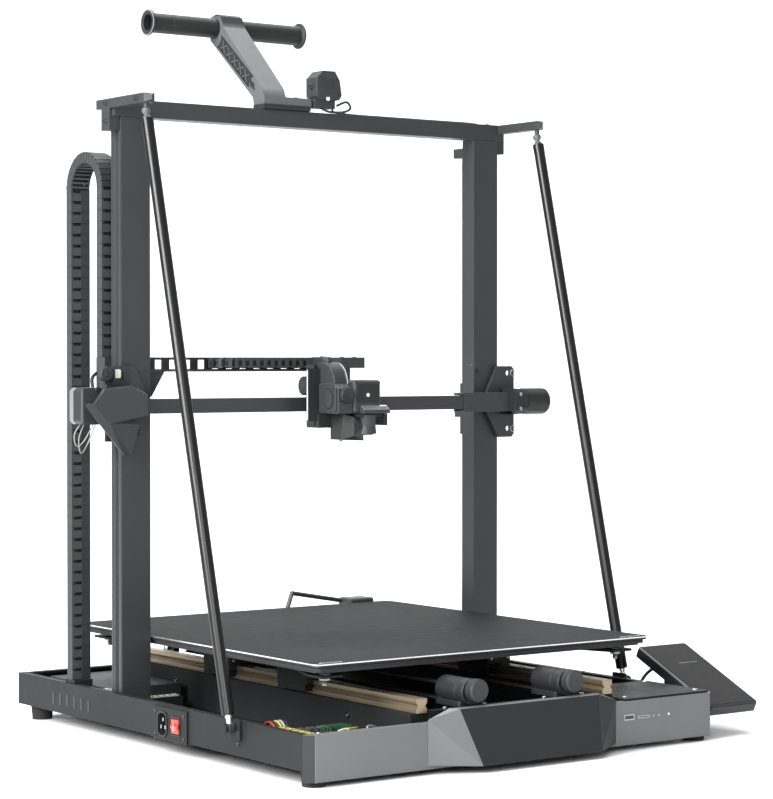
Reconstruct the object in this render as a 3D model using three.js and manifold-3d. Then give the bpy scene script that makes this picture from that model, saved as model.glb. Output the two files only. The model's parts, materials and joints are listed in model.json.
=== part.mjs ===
// Large moving-bed 3-D printer with a braced two-upright gantry.
// Millimetres, +Z up, +X to the right, the badge and the tension knobs face -Y.
// All coordinates below are measured from the centre of the base; the finished
// group is shifted once at the end, so that the centre of its footprint is the origin.
import * as THREE from "three";
import { ConvexGeometry } from "three/addons/geometries/ConvexGeometry.js";
import { mergeVertices } from "three/addons/utils/BufferGeometryUtils.js";
import ManifoldModule from "manifold-3d";

const wasm = await ManifoldModule();
wasm.setup();
const { Manifold, Mesh } = wasm;

// ---------------------------------------------------------------- driving dimensions
const GAP = 0.3;                                  // clearance between neighbouring pieces
const base = { w: 571, d: 635, top: 55.5, sideBottom: 17.5, frontBottom: 6, sheet: 2.5, chamfer: 10 };
const panTop = base.sideBottom + base.sheet;
const halfW = base.w / 2;
const halfD = base.d / 2;
const plate = { w: 470, d: 520, t: 4, top: 118.9 };
const bed = { w: 462, d: 512, t: 6, carriageZ: 101, carriageT: 3 };
const rail = { x: 130, w: 14, z0: 64, z1: 80, y0: -305, y1: 300 };
const post = { x0: 238, x1: 276, y0: 78, y1: 102, top: 720 };
const beam = { z0: 720.3, z1: 740.3 };
const arm = { x0: 276.3, x1: 290, y0: -4, y1: 112 };
const brace = { r: 7, top: [284, 8, 725], foot: { left: [294, -183, 48], right: [294, -147, 51] } };
const screwY = 124;                               // lead screw centre line behind the uprights
const screwX = { left: -246, right: 258 };
const gantry = { x0: -262, x1: 262, y0: 50.5, y1: 70.5, z0: 378, z1: 395 };
const gantryZ = (gantry.z0 + gantry.z1) / 2;
const zChain = { x0: -282.5, x1: -258, front: 112, rear: 198, depth: 13, z0: 60, bend: 641, end: 443 };
const xChain = { front: 105, rear: 145, depth: 10, z0: 430, z1: 442, bend: -106, end: 5, fixed: 60 };
const belt = { t: 1.4, y: { x: 67, z: 79, r: 8, front: -285, rear: 275 }, x: { r: 6, y0: 54, y1: 61 } };
const tube = { r: 12, flange: 16, x0: -177, x1: 45, y: 188, z: 848 };
const screen = { w: 77, l: 140, t: 13, x: 326.5, y: -239.6, z: 60, tilt: THREE.MathUtils.degToRad(24.6) };
const origin = { x: 9.5, y: -13.75 };             // centre of the footprint, from the base centre

// ---------------------------------------------------------------- finishes
const finishes = {
  charcoal: { color: 0x3b3f40, roughness: 0.55, metalness: 0.35 },
  greyMetal: { color: 0x6f7576, roughness: 0.45, metalness: 0.5 },
  black: { color: 0x17181a, roughness: 0.6, metalness: 0.05 },
  gloss: { color: 0x101112, roughness: 0.15, metalness: 0.2 },
  steel: { color: 0xb9bcbe, roughness: 0.25, metalness: 0.95 },
  bronze: { color: 0xa08d6c, roughness: 0.35, metalness: 0.8 },
  rubber: { color: 0x0d0d0d, roughness: 0.9, metalness: 0 },
  red: { color: 0xc81e16, roughness: 0.4, metalness: 0 },
  green: { color: 0x1f6a3a, roughness: 0.5, metalness: 0.1 },
  brass: { color: 0xc79a4a, roughness: 0.3, metalness: 0.9 },
};

// ---------------------------------------------------------------- solid helpers
function solid(geometry) {
  const bare = new THREE.BufferGeometry();
  bare.setAttribute("position", geometry.getAttribute("position"));
  if (geometry.index) bare.setIndex(geometry.index);
  const welded = mergeVertices(bare, 1e-4);
  const mesh = new Mesh({
    numProp: 3,
    vertProperties: new Float32Array(welded.getAttribute("position").array),
    triVerts: new Uint32Array(welded.index.array),
  });
  return Manifold.ofMesh(mesh);
}

function toGeometry(manifold) {
  const mesh = manifold.getMesh();
  const geometry = new THREE.BufferGeometry();
  const flat = new Float32Array(mesh.triVerts.length * 3);
  mesh.triVerts.forEach((vertex, i) => {
    for (let axis = 0; axis < 3; axis += 1) {
      flat[i * 3 + axis] = mesh.vertProperties[vertex * mesh.numProp + axis];
    }
  });
  geometry.setAttribute("position", new THREE.BufferAttribute(flat, 3));
  geometry.computeVertexNormals();
  return geometry;
}

function box(x0, x1, y0, y1, z0, z1) {
  const geometry = new THREE.BoxGeometry(x1 - x0, y1 - y0, z1 - z0);
  geometry.translate((x0 + x1) / 2, (y0 + y1) / 2, (z0 + z1) / 2);
  return solid(geometry);
}

// A round bar along one axis, from a to b, centred on the other two coordinates.
function bar(axis, a, b, centre, r, r2 = r, segments = 24) {
  const geometry = new THREE.CylinderGeometry(r2, r, b - a, segments);
  if (axis === "x") geometry.rotateZ(-Math.PI / 2).translate((a + b) / 2, centre[0], centre[1]);
  if (axis === "y") geometry.translate(centre[0], (a + b) / 2, centre[1]);
  if (axis === "z") geometry.rotateX(Math.PI / 2).translate(centre[0], centre[1], (a + b) / 2);
  return solid(geometry);
}

// A bar between two free points.
function strut(from, to, r, segments = 20) {
  const a = new THREE.Vector3(...from);
  const b = new THREE.Vector3(...to);
  const geometry = new THREE.CylinderGeometry(r, r, a.distanceTo(b), segments);
  const turn = new THREE.Quaternion().setFromUnitVectors(new THREE.Vector3(0, 1, 0), b.clone().sub(a).normalize());
  geometry.applyQuaternion(turn);
  geometry.translate((a.x + b.x) / 2, (a.y + b.y) / 2, (a.z + b.z) / 2);
  return solid(geometry);
}

function ball(centre, r) {
  const geometry = new THREE.SphereGeometry(r, 16, 10);
  geometry.translate(...centre);
  return solid(geometry);
}

// Extrudes an outline [[u, v], ...]: axis "x" reads it as (y, z), "y" as (x, z), "z" as (x, y).
function extrude(axis, outline, a, b) {
  const shape = new THREE.Shape(outline.map(([u, v]) => new THREE.Vector2(u, v)));
  const geometry = new THREE.ExtrudeGeometry(shape, { depth: b - a, bevelEnabled: false, curveSegments: 12 });
  if (axis === "x") geometry.rotateX(Math.PI / 2).rotateZ(Math.PI / 2).translate(a, 0, 0);
  if (axis === "y") geometry.rotateX(Math.PI / 2).translate(0, b, 0);
  if (axis === "z") geometry.translate(0, 0, a);
  return solid(geometry);
}

function hull(points) {
  return solid(new ConvexGeometry(points.map((p) => new THREE.Vector3(...p))));
}

// A box with chamfered edges all the way round.
function softBox(x0, x1, y0, y1, z0, z1, c) {
  const points = [];
  for (const [x, sx] of [[x0, 1], [x1, -1]]) {
    for (const [y, sy] of [[y0, 1], [y1, -1]]) {
      for (const [z, sz] of [[z0, 1], [z1, -1]]) {
        points.push([x + sx * c, y + sy * c, z], [x + sx * c, y, z + sz * c], [x, y + sy * c, z + sz * c]);
      }
    }
  }
  return hull(points);
}

function union(...solids) {
  return Manifold.union(solids);
}

function mirrorX(body) {
  return body.mirror([1, 0, 0]);
}

// A closed band round two pulleys whose axes run along the given axis ("x" or "y").
function band(axis, ends, level, r, a, b) {
  const loop = (radius) => {
    const turns = ends.map((end) => bar(axis, a, b, axis === "x" ? [end, level] : [end, level], radius));
    const middle = axis === "x"
      ? box(a, b, ends[0], ends[1], level - radius, level + radius)
      : box(ends[0], ends[1], a, b, level - radius, level + radius);
    return union(...turns, middle);
  };
  return loop(r + belt.t).subtract(loop(r));
}

const assembly = new THREE.Group();
assembly.name = "moving_bed_printer";

function add(name, body, finish) {
  const mesh = new THREE.Mesh(toGeometry(body), new THREE.MeshStandardMaterial(finishes[finish]));
  mesh.name = name;
  mesh.position.set(-origin.x, -origin.y, 0);
  assembly.add(mesh);
}

// ---------------------------------------------------------------- base
const inner = halfW - base.sheet;
const feet = [[-266, -300], [266, -300], [-266, 292], [266, 292]];
add("base_pan", union(
  box(-inner + GAP, inner - GAP, -halfD + base.chamfer + GAP, halfD - base.sheet, base.sideBottom, panTop),
  box(-270, 270, -halfD + base.sheet + GAP, -halfD + 20, base.sideBottom, panTop),
  box(-halfW, halfW, halfD - base.sheet, halfD, base.sideBottom, base.top),
  box(-halfW, halfW, halfD - 9, halfD, base.top - base.sheet, base.top),
  box(-halfW, -inner, halfD - 9, halfD, base.sideBottom, base.top),
  box(inner, halfW, halfD - 9, halfD, base.sideBottom, base.top),
  ...feet.map(([x, y]) => bar("z", 0, base.sideBottom + 1, [x, y], 12, 14)),
  box(zChain.x0, zChain.x1, zChain.rear - zChain.depth - 5, zChain.rear + 4, panTop - 1, zChain.z0 - GAP),
), "charcoal");

function sideWall() {
  const y0 = -halfD + base.chamfer + GAP;
  const y1 = halfD - 9 - GAP;
  const web = box(-halfW, -inner, y0, y1, base.sideBottom, base.top);
  const flange = box(-halfW, -halfW + 9, y0, y1, base.top - base.sheet, base.top);
  return union(web, flange);
}
const inletHole = box(-halfW - 1, -inner + 10, -74, -16, 18.5, 50);

// Bracket and ball stud on the wall for the lower end of a brace rod.
function braceFoot(side) {
  const [x, y, z] = brace.foot[side];
  return union(
    box(halfW - 0.5, halfW + 3.5, y - 11, y + 11, z - 13, z + 9),
    bar("x", halfW + 2, x + 7, [y, z], 2.6, 2.6, 16),
    bar("x", x + 4.2, x + 8, [y, z], 5.2, 5.2, 6),
  );
}

function tilted(body) {
  return body.rotate([THREE.MathUtils.radToDeg(screen.tilt), 0, 0]).translate([screen.x, screen.y, screen.z]);
}
const screenBracket = union(
  tilted(box(-26, 22, -40, 44, -screen.t / 2 - 3.3, -screen.t / 2 - GAP)),
  box(halfW - 0.5, 312, -262, -206, 30, 33),
  box(halfW - 0.5, halfW + 3, -262, -206, 20, 33),
  extrude("x", [[-262, 31], [-206, 31], [-206, 66], [-262, 40.5]], 306, 309),
);
const chainNotch = box(zChain.x0 - GAP, -270, zChain.rear - zChain.depth - 5 - GAP, zChain.rear + 4 + GAP, 50, 60);
add("left_side_wall", union(sideWall().subtract(inletHole).subtract(chainNotch), mirrorX(braceFoot("left"))), "charcoal");
add("right_side_wall", union(mirrorX(sideWall()), braceFoot("right"), screenBracket), "charcoal");

function frontOutline(inset) {
  const c = base.chamfer - inset * 0.4;
  return [
    [-halfW + inset, -halfD + base.chamfer], [-halfW + c, -halfD + inset],
    [halfW - c, -halfD + inset], [halfW - inset, -halfD + base.chamfer],
  ];
}
const frontShell = extrude("z", frontOutline(0), base.frontBottom, base.top)
  .subtract(extrude("z", frontOutline(base.sheet), base.frontBottom - 1, base.top - base.sheet));
add("front_panel", frontShell, "greyMetal");

add("front_badge", hull([
  [-132, -halfD - GAP, 59], [132, -halfD - GAP, 59], [-132, -halfD - GAP, 10], [132, -halfD - GAP, 10],
  [-104, -halfD - GAP, 69], [104, -halfD - GAP, 69], [-97, -328, 69], [97, -328, 69],
  [-78, -345, 8], [88, -345, 8],
]), "charcoal");

// Two box rails carry the bed guides, tied by a crossbar at each end.
const railBeam = union(
  box(-142, -118, -300, 300, panTop + GAP, 63.7),
  box(-150, -110, -290, -270, panTop + GAP, panTop + 4),
);
add("bed_subframe", union(
  railBeam,
  mirrorX(railBeam),
  box(-120, 120, -304, -296, 57, 66),
  box(-120, 120, 262, 268, 30, 57.5),
  box(-120, 120, -295, 262, 40, 43),
  box(-96, -88, 262, 288, 30, 92),
  box(88, 96, 262, 288, 30, 92),
).subtract(union(
  bar("x", -98, -86, [belt.y.rear, belt.y.z], 4.4),
  bar("x", 86, 98, [belt.y.rear, belt.y.z], 4.4),
)), "charcoal");

function guideRail(x) {
  const half = rail.w / 2;
  const profile = [
    [x - half, rail.z0], [x + half, rail.z0], [x + half, rail.z0 + 5], [x + half - 2.5, rail.z0 + 8],
    [x + half, rail.z0 + 11], [x + half, rail.z1], [x - half, rail.z1], [x - half, rail.z0 + 11],
    [x - half + 2.5, rail.z0 + 8], [x - half, rail.z0 + 5],
  ];
  return extrude("y", profile, rail.y0, rail.y1);
}
add("bed_rail_left", guideRail(-rail.x), "bronze");
add("bed_rail_right", guideRail(rail.x), "bronze");

add("electronics_cover", union(
  box(148, inner - 7, -halfD + 3, -206, base.top + GAP, base.top + 2.5),
  box(148, 150.5, -halfD + base.chamfer + 1, -206, 26, base.top + 1),
), "charcoal");
add("main_board", union(
  box(-262, -160, -298, -196, 37, 38.6),
  box(-256, -244, -290, -210, 38, 49),
  box(-232, -208, -272, -248, 38, 46),
  box(-198, -168, -294, -282, 38, 49),
  box(-198, -170, -232, -214, 38, 47),
  ...[[-257, -293], [-257, -202], [-165, -293], [-165, -202]].map(([x, y]) => bar("z", panTop + GAP, 38, [x, y], 3)),
), "green");
add("power_supply", union(
  box(-250, -152, 152, 302, panTop + GAP, 50),
  box(-218, -156, 140, 153, panTop + GAP, 36),
), "greyMetal");

const inletPlate = softBox(-halfW - 2.8, -halfW - GAP, -84, -12, 16, 53.5, 1.1);
add("power_inlet", union(
  inletPlate,
  box(-halfW - 1.5, -262, -45, -22, 20, 49.5),
).subtract(union(
  extrude("x", [[-42, 26], [-38, 21.8], [-29, 21.8], [-25, 26], [-25, 42.5], [-29, 46.7], [-38, 46.7], [-42, 42.5]],
    -halfW - 5, -268),
  box(-halfW - 5, -halfW + 3, -70, -54, 25.3, 43.7),
)), "black");
add("power_rocker", union(
  box(-halfW - 4.5, -halfW + 8, -69, -55, 26.5, 42.5),
  bar("y", -69, -55, [-halfW - 2, 34.5], 4.2),
), "red");

// ---------------------------------------------------------------- bed drive
for (const [side, sign] of [["left", -1], ["right", 1]]) {
  const x = sign * belt.y.x;
  const beltZ = belt.y.z;
  const housing = softBox(x - 15, x + 15, -311, -262, 66.4, 97, 4)
    .subtract(box(x - 8, x + 8, -302, -250, 67.5, 90.6))
    .subtract(box(x - 30, x + 30, -300, -294, 60, 64));
  const idler = union(
    bar("x", x - 5.5, x + 5.5, [belt.y.front, beltZ], belt.y.r - 0.2),
    bar("x", x - 14, x + 14, [belt.y.front, beltZ], 3),
  );
  add(`bed_tensioner_${side}`, union(housing, idler), "black");
  add(`bed_tension_knob_${side}`, union(
    bar("y", -324, -312.3, [x, 85], 12.6, 12.6, 32),
    bar("y", -325, -324, [x, 85], 11.6, 12.6, 32),
  ), "black");
  add(`bed_belt_${side}`, band("x", [belt.y.front, belt.y.rear], beltZ, belt.y.r, x - 5, x + 5), "rubber");
}
add("bed_drive_shaft", union(
  bar("x", -100, 100, [belt.y.rear, belt.y.z], 4),
  ...[-1, 1].flatMap((s) => [
    bar("x", s * belt.y.x - 5.3, s * belt.y.x + 5.3, [belt.y.rear, belt.y.z], belt.y.r - 0.1),
    bar("x", s * belt.y.x - 7.5, s * belt.y.x - 5.3, [belt.y.rear, belt.y.z], belt.y.r + 2),
    bar("x", s * belt.y.x + 5.3, s * belt.y.x + 7.5, [belt.y.rear, belt.y.z], belt.y.r + 2),
  ]),
), "steel");
add("bed_motor", union(
  softBox(-22, 22, 254, 296, 58, 100, 3),
  box(-18, 18, 268.3, 284, 43.3, 60),
).subtract(bar("x", -30, 30, [belt.y.rear, belt.y.z], 4.6)), "black");

// ---------------------------------------------------------------- bed
const bedCorner = [205, 232];
const carriageArms = [];
for (const sx of [-1, 1]) {
  for (const sy of [-1, 1]) {
    const [cx, cy] = [sx * bedCorner[0], sy * bedCorner[1]];
    carriageArms.push(hull([
      [sx * 120, sy * 80, bed.carriageZ], [sx * 158, sy * 60, bed.carriageZ],
      [cx - 14, cy - 14, bed.carriageZ], [cx + 14, cy - 14, bed.carriageZ],
      [cx + 14, cy + 14, bed.carriageZ], [cx - 14, cy + 14, bed.carriageZ],
      [sx * 120, sy * 80, bed.carriageZ + 3], [sx * 158, sy * 60, bed.carriageZ + 3],
      [cx - 14, cy - 14, bed.carriageZ + 3], [cx + 14, cy - 14, bed.carriageZ + 3],
      [cx + 14, cy + 14, bed.carriageZ + 3], [cx - 14, cy + 14, bed.carriageZ + 3],
    ]));
    carriageArms.push(bar("z", bed.carriageZ + 2, 108, [cx, cy], 6));
    const shoe = box(sx * rail.x - 17, sx * rail.x + 17, sy * 80 - 28, sy * 80 + 28, 67, bed.carriageZ + 1)
      .subtract(box(sx * rail.x - 7.4, sx * rail.x + 7.4, -200, 200, 60, rail.z1 + 0.4));
    carriageArms.push(shoe);
  }
}
const beltClamps = [-1, 1].map((s) => box(
  s * belt.y.x - 9, s * belt.y.x + 9, -18, 18, belt.y.z + belt.y.r + belt.t + 0.3, bed.carriageZ + 1,
));
add("bed_carriage", union(
  box(-160, 160, -95, 95, bed.carriageZ, bed.carriageZ + bed.carriageT),
  ...carriageArms, ...beltClamps,
).subtract(union(box(-45, 45, -60, 60, 99, 106))), "charcoal");
add("heated_bed", box(-bed.w / 2, bed.w / 2, -bed.d / 2, bed.d / 2, 108.3, 108.3 + bed.t), "black");

function roundedPlate(w, d, r) {
  const shape = [];
  for (const [sx, sy, start] of [[1, 1, 0], [-1, 1, 1], [-1, -1, 2], [1, -1, 3]]) {
    for (let i = 0; i <= 4; i += 1) {
      const a = (start + i / 4) * Math.PI / 2;
      shape.push([sx * (w / 2 - r) + r * Math.cos(a), sy * (d / 2 - r) + r * Math.sin(a)]);
    }
  }
  return shape;
}
add("build_plate", extrude("z", roundedPlate(plate.w, plate.d, 8), plate.top - plate.t, plate.top), "charcoal");
add("bed_cable_guard", union(
  strut([70, 258, 111], [98, 286, 134], 3),
  strut([98, 286, 134], [182, 286, 119], 3),
  ball([98, 286, 134], 3),
  softBox(176, 214, 262, 292, 109, 124, 2),
).subtract(box(60, 230, 200, bed.d / 2 + 4.5, 100, 140)), "charcoal");

// ---------------------------------------------------------------- uprights, top beam and braces
function upright() {
  const profile = [
    [post.x0, post.y0], [post.x1, post.y0], [post.x1, 86], [post.x1 - 4, 87.5], [post.x1 - 4, 92.5],
    [post.x1, 94], [post.x1, post.y1], [262, post.y1], [260, post.y1 - 4], [254, post.y1 - 4],
    [252, post.y1], [post.x0, post.y1],
  ];
  return extrude("z", profile, panTop + GAP, post.top);
}

// Plate behind the head of an upright that steadies the top of the lead screw.
function screwBearing(x) {
  return box(x - 10, x + 10, post.y1 - 0.5, screwY + 10, 700, 712)
    .subtract(bar("z", 690, 720, [x, screwY], 4.4));
}
add("upright_right", union(upright(), screwBearing(screwX.right)), "charcoal");
add("upright_left", union(mirrorX(upright()), screwBearing(screwX.left)), "charcoal");

function topArm() {
  const low = beam.z1 - 11;
  const side = hull([
    [arm.x1 - 12, arm.y0 + 3, low], [arm.x1, arm.y0 + 7, low], [arm.x1 - 12, arm.y1, low],
    [arm.x1, arm.y1, low], [arm.x1 - 12, arm.y0 + 3, beam.z1], [arm.x1, arm.y0 + 7, beam.z1],
    [arm.x1 - 12, arm.y1, beam.z1], [arm.x1, arm.y1, beam.z1], [arm.x1 - 7, arm.y0, low + 3],
    [arm.x1 - 7, arm.y0, beam.z1 - 3],
  ]);
  return union(
    side,
    box(post.x1 - 1, arm.x1 - 5, post.y0, post.y1, beam.z0, beam.z1),
    box(arm.x0, arm.x1, 82, 100, 704, beam.z1 - 10),
    bar("z", brace.top[2] - 1, beam.z1 - 10, [brace.top[0], brace.top[1]], 3, 3, 12),
  );
}
add("top_beam", union(
  box(-post.x1, post.x1, post.y0, post.y1, beam.z0, beam.z1),
  topArm(),
  mirrorX(topArm()),
), "charcoal");

// A damped brace rod: slim tube, turned collars, and an eye at each end.
function braceRod(side) {
  const top = new THREE.Vector3(...brace.top);
  const [footX, footY, footZ] = brace.foot[side];
  const foot = new THREE.Vector3(footX, footY, footZ);
  const along = (t) => top.clone().lerp(foot, t).toArray();
  const eyeTop = ball([brace.top[0], brace.top[1], brace.top[2] - 6.5], 5);
  return union(
    eyeTop,
    strut([brace.top[0], brace.top[1], brace.top[2] - 6.5], along(0.03), 2.6),
    strut(along(0.022), along(0.975), brace.r),
    strut(along(0.97), along(0.985), 4),
    strut(along(0.98), along(1), 2.6),
    bar("x", footX - 3.5, footX + 3.5, [footY, footZ], 6),
  ).subtract(bar("x", footX - 5, footX + 5, [footY, footZ], 3));
}
add("brace_rod_right", braceRod("right"), "gloss");
add("brace_rod_left", mirrorX(braceRod("left")), "gloss");

// ---------------------------------------------------------------- spool holder and filament sensor
const armX = [-81, -49];
const spoolLeg = extrude("x", [
  [76, beam.z1 + GAP], [98, beam.z1 + GAP], [102, 756], [198, 834], [202, 850], [196, 864], [176, 862], [168, 848],
  [82, 766], [76, 752],
], ...armX);
const ribPockets = [];
for (let i = 0; i < 5; i += 1) {
  const y = 103 + i * 15;
  const z = 767 + i * 13;
  ribPockets.push(extrude("x", [[y - 5, z - 4], [y + 5, z + 3], [y + 4, z + 11], [y - 6, z + 4]],
    armX[0] - 1, armX[0] + 6));
}
add("spool_arm", union(
  spoolLeg,
  bar("x", armX[0] + 2, armX[1], [tube.y, tube.z], 17.5, 17.5, 32),
  box(armX[0], -14, 76, 98, beam.z1 + GAP, 756),
  box(-15, -9.3, 80, 92, 747, 754),
).subtract(union(
  ...ribPockets,
  bar("x", armX[0] - 5, armX[1] + 5, [tube.y, tube.z], tube.r + GAP, tube.r + GAP, 32),
)), "greyMetal");
const tubeLine = [tube.y, tube.z];
add("spool_tube", union(
  bar("x", tube.x0, tube.x1, tubeLine, tube.r, tube.r, 32),
  bar("x", tube.x0, tube.x0 + 3, tubeLine, tube.flange, tube.flange, 32),
  bar("x", tube.x1 - 3, tube.x1, tubeLine, tube.flange, tube.flange, 32),
).subtract(bar("x", tube.x0 - 1, tube.x1 + 1, tubeLine, tube.r - 2, tube.r - 2, 32)), "black");
add("filament_sensor", union(
  extrude("y", [[-9, 760], [-5, 756], [24, 756], [28, 762], [25, 780], [18, 791], [0, 791], [-9, 782]], 70, 94),
  box(-9, 22, 76, 92, 746, 757),
), "black");

// ---------------------------------------------------------------- touch screen
add("touch_screen", tilted(softBox(-screen.w / 2, screen.w / 2, -screen.l / 2, screen.l / 2,
  -screen.t / 2, screen.t / 2, 1.5)), "gloss");
// ---------------------------------------------------------------- lifting drive
for (const [side, x] of Object.entries(screwX)) {
  add(`lift_motor_${side}`, union(
    softBox(x - 21, x + 21, screwY - 21 + 0.4, screwY + 21.4, panTop + GAP, 52.5, 3),
    bar("z", 52, 58, [x, screwY], 11),
  ), "black");
  add(`lead_screw_${side}`, union(
    bar("z", 58.4, 712, [x, screwY], 4, 4, 20),
    bar("z", 58.4, 84, [x, screwY], 9, 9, 20),
  ), "steel");
}

// ---------------------------------------------------------------- cable chains
function chainLimb(axis, a, b, cross, pitch, slot) {
  // cross = [u0, u1, v0, v1]; windows are cut through the u faces' middle.
  const [u0, u1, v0, v1] = cross;
  const body = axis === "z" ? box(u0, u1, v0, v1, a, b) : box(a, b, u0, u1, v0, v1);
  const cuts = [];
  const count = Math.floor((b - a - 6) / pitch);
  for (let i = 0; i < count; i += 1) {
    const s = a + 5 + i * pitch;
    cuts.push(axis === "z"
      ? box(u0 + 6, u0 + 13, v0 - 1, v0 + slot, s, s + pitch * 0.5)
      : box(s, s + pitch * 0.5, u0 - 1, u0 + slot, v0 + 3, v1 - 3));
  }
  return body.subtract(union(...cuts));
}
const zc = zChain;
add("lift_chain_rear", chainLimb("z", zc.z0, zc.bend - GAP, [zc.x0, zc.x1, zc.rear - zc.depth, zc.rear], 28, 3),
  "black");
add("lift_chain_front", chainLimb("z", zc.end + GAP, zc.bend - GAP, [zc.x0, zc.x1, zc.front, zc.front + zc.depth],
  28, 3), "black");
const zMid = (zc.front + zc.rear) / 2;
const zOuter = (zc.rear - zc.front) / 2;
add("lift_chain_bend", bar("x", zc.x0, zc.x1, [zMid, zc.bend], zOuter, zOuter, 40)
  .subtract(bar("x", zc.x0 - 1, zc.x1 + 1, [zMid, zc.bend], zOuter - zc.depth, zOuter - zc.depth, 40))
  .subtract(box(zc.x0 - 1, zc.x1 + 1, zc.front - 1, zc.rear + 1, zc.bend - 60, zc.bend)), "black");

// ---------------------------------------------------------------- gantry
const wall = 2;
add("gantry_beam", box(gantry.x0, gantry.x1, gantry.y0, gantry.y1, gantry.z0, gantry.z1)
  .subtract(box(gantry.x0 - 1, gantry.x1 + 1, gantry.y0 + wall, gantry.y1 - wall, gantry.z0 + wall, gantry.z1 - wall))
  .subtract(box(gantry.x0 - 1, gantry.x1 + 1, gantry.y1 - 5, gantry.y1 + 1, gantryZ - 3.5, gantryZ + 3.5)),
"charcoal");

// Clasp round the outside and back of an upright, with the nut block of the lead screw.
function clasp(inner0, outer0, nutX) {
  const [lo, hi] = inner0 < outer0 ? [inner0, outer0] : [outer0, inner0];
  const outerBar = outer0 > 0 ? box(post.x1 + 0.6, hi, 71, 107, 362, 410) : box(lo, -post.x1 - 0.6, 71, 107, 362, 410);
  return union(
    outerBar,
    box(lo, hi, 102.6, 107, 345, 410),
    box(Math.min(nutX - 8, nutX + 8), Math.max(nutX - 8, nutX + 8), 106, screwY + 10, 366, 392),
  ).subtract(bar("z", 300, 460, [nutX, screwY], 4.5));
}
add("carriage_right", union(
  extrude("y", [
    [254, 373], [272, 341], [294, 341], [297.8, 345], [297.8, 428], [294, 432], [270, 432], [254, 400],
  ], 71, 75),
  clasp(238, 282.6, screwX.right),
).subtract(union(
  bar("y", 60, 80, [288, 423], 3.4),
  bar("y", 60, 80, [288, 352], 3.4),
)), "charcoal");
// Shelf behind the beam that carries the lying cable chain, with a windowed back lip.
const tray = union(
  box(-238, xChain.fixed + 3, 104.6, 150, 426, 428),
  chainLimb("x", -236, xChain.fixed + 3, [147, 150, 426, 443], 20, 4),
  extrude("y", [[-240, 391], [-240, 428], [-201, 428], [-219.5, 397]], 106, 110),
);
add("carriage_left", union(
  tray,
  extrude("y", [
    [-330, 366], [-283, 366], [-283, 341], [-262, 341], [-254, 349], [-250, 372], [-250, 405],
    [-262, 433], [-302, 433], [-302, 408], [-330, 408],
  ], 71, 75),
  clasp(-238, -282.4, screwX.left),
  box(zc.x0, zc.x1 - 1, 106, 126, 398, zc.end),
).subtract(union(
  bar("y", 60, 80, [-304.5, gantryZ], 12),
  bar("y", 60, 80, [-271, 353], 3.4),
)), "charcoal");

const end = { x0: 200, x1: 298 };
add("beam_end_fitting", union(
  box(end.x0, end.x1, gantry.y0 - 0.7, gantry.y1, 374.5, 398.5),
  hull([
    [276, 40, 376], [276, 40, 398], [276, 76, 398], [276, 76, 376], [276, 46, 370], [276, 70, 370],
    [276, 46, 404], [276, 70, 404], [end.x1, 46, 372], [end.x1, 70, 372], [end.x1, 46, 402], [end.x1, 70, 402],
    [end.x1, 41, 378], [end.x1, 41, 396], [end.x1, 75, 378], [end.x1, 75, 396],
  ]).subtract(box(270, 300, 70.8, 90, 340, 433)),
).subtract(box(end.x0 - 1, gantry.x1 + GAP, gantry.y0 - 0.1, gantry.y1 + 1, gantry.z0 - GAP, gantry.z1 + GAP)),
"charcoal");
const knobAxis = [58, gantryZ + 0.5];
add("beam_tension_knob", union(
  bar("x", end.x1 + GAP, 330, knobAxis, 17, 15, 10),
  bar("x", 330, 336, knobAxis, 15, 9, 10),
), "black");
add("beam_motor", union(
  softBox(-325.5, -283.5, 75.4, 112, 366, 408, 3.5),
), "black");
add("beam_motor_pulley", union(
  bar("y", 50, 75, [-304.5, gantryZ], 2.5, 2.5, 16),
  bar("y", 53.6, 61.4, [-304.5, gantryZ], belt.x.r - 0.1),
  bar("y", 51.6, 53.6, [-304.5, gantryZ], belt.x.r + 2.4),
  bar("y", 61.4, 70, [-304.5, gantryZ], belt.x.r + 2.4),
), "steel");
const beamLoop = (r0, r1) => {
  const a = bar("y", belt.x.y0, belt.x.y1, [-304.5, gantryZ], r0, r0, 20);
  const b = bar("y", belt.x.y0, belt.x.y1, [248, gantryZ], r1, r1, 20);
  return Manifold.hull([a, b]);
};
add("beam_belt", beamLoop(belt.x.r, belt.x.r - 0.8).subtract(beamLoop(belt.x.r, belt.x.r - 0.8)
  .intersect(beamLoop(belt.x.r - belt.t + 1.4, belt.x.r - 0.8)).intersect(Manifold.hull([
    bar("y", belt.x.y0 - 1, belt.x.y1 + 1, [-304.5, gantryZ], belt.x.r - 0.02, belt.x.r - 0.02, 20),
    bar("y", belt.x.y0 - 1, belt.x.y1 + 1, [248, gantryZ], belt.x.r - 0.82, belt.x.r - 0.82, 20),
  ]))), "rubber");
// Faceted cap over the belt pulley: a broad upper facet and a wedge that points down to the right.
const coverTop = hull([
  ...[[-338, 389.4], [-325, 405.5], [-290, 409], [-268.6, 400], [-268.6, 376.5], [-317, 368]].map(([x, z]) => [x, 31, z]),
  ...[[-320, 390], [-306, 408], [-266, 411.5], [-263, 402], [-263, 374], [-306, 366]].map(([x, z]) => [x, 68, z]),
]);
const coverWedge = hull([
  [-346, 39, 389.5], [-338, 32, 389.4], [-317, 34, 368.5], [-289, 50, 331.5], [-280, 50, 331.5], [-268.6, 50, 366],
  [-324, 68, 391], [-281, 68, 331], [-271, 68, 331], [-260, 68, 366],
]);
add("beam_motor_cover", union(coverTop, coverWedge).subtract(union(
  extrude("y", [[-314, 383.5], [-309.5, 377.5], [-255, 374], [-255, 399], [-306, 399], [-314, 393]], 48, 70),
  box(gantry.x0 - 10, -250, 40, 80, gantry.z0 - 2, gantry.z1 + 2),
)), "greyMetal");

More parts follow.
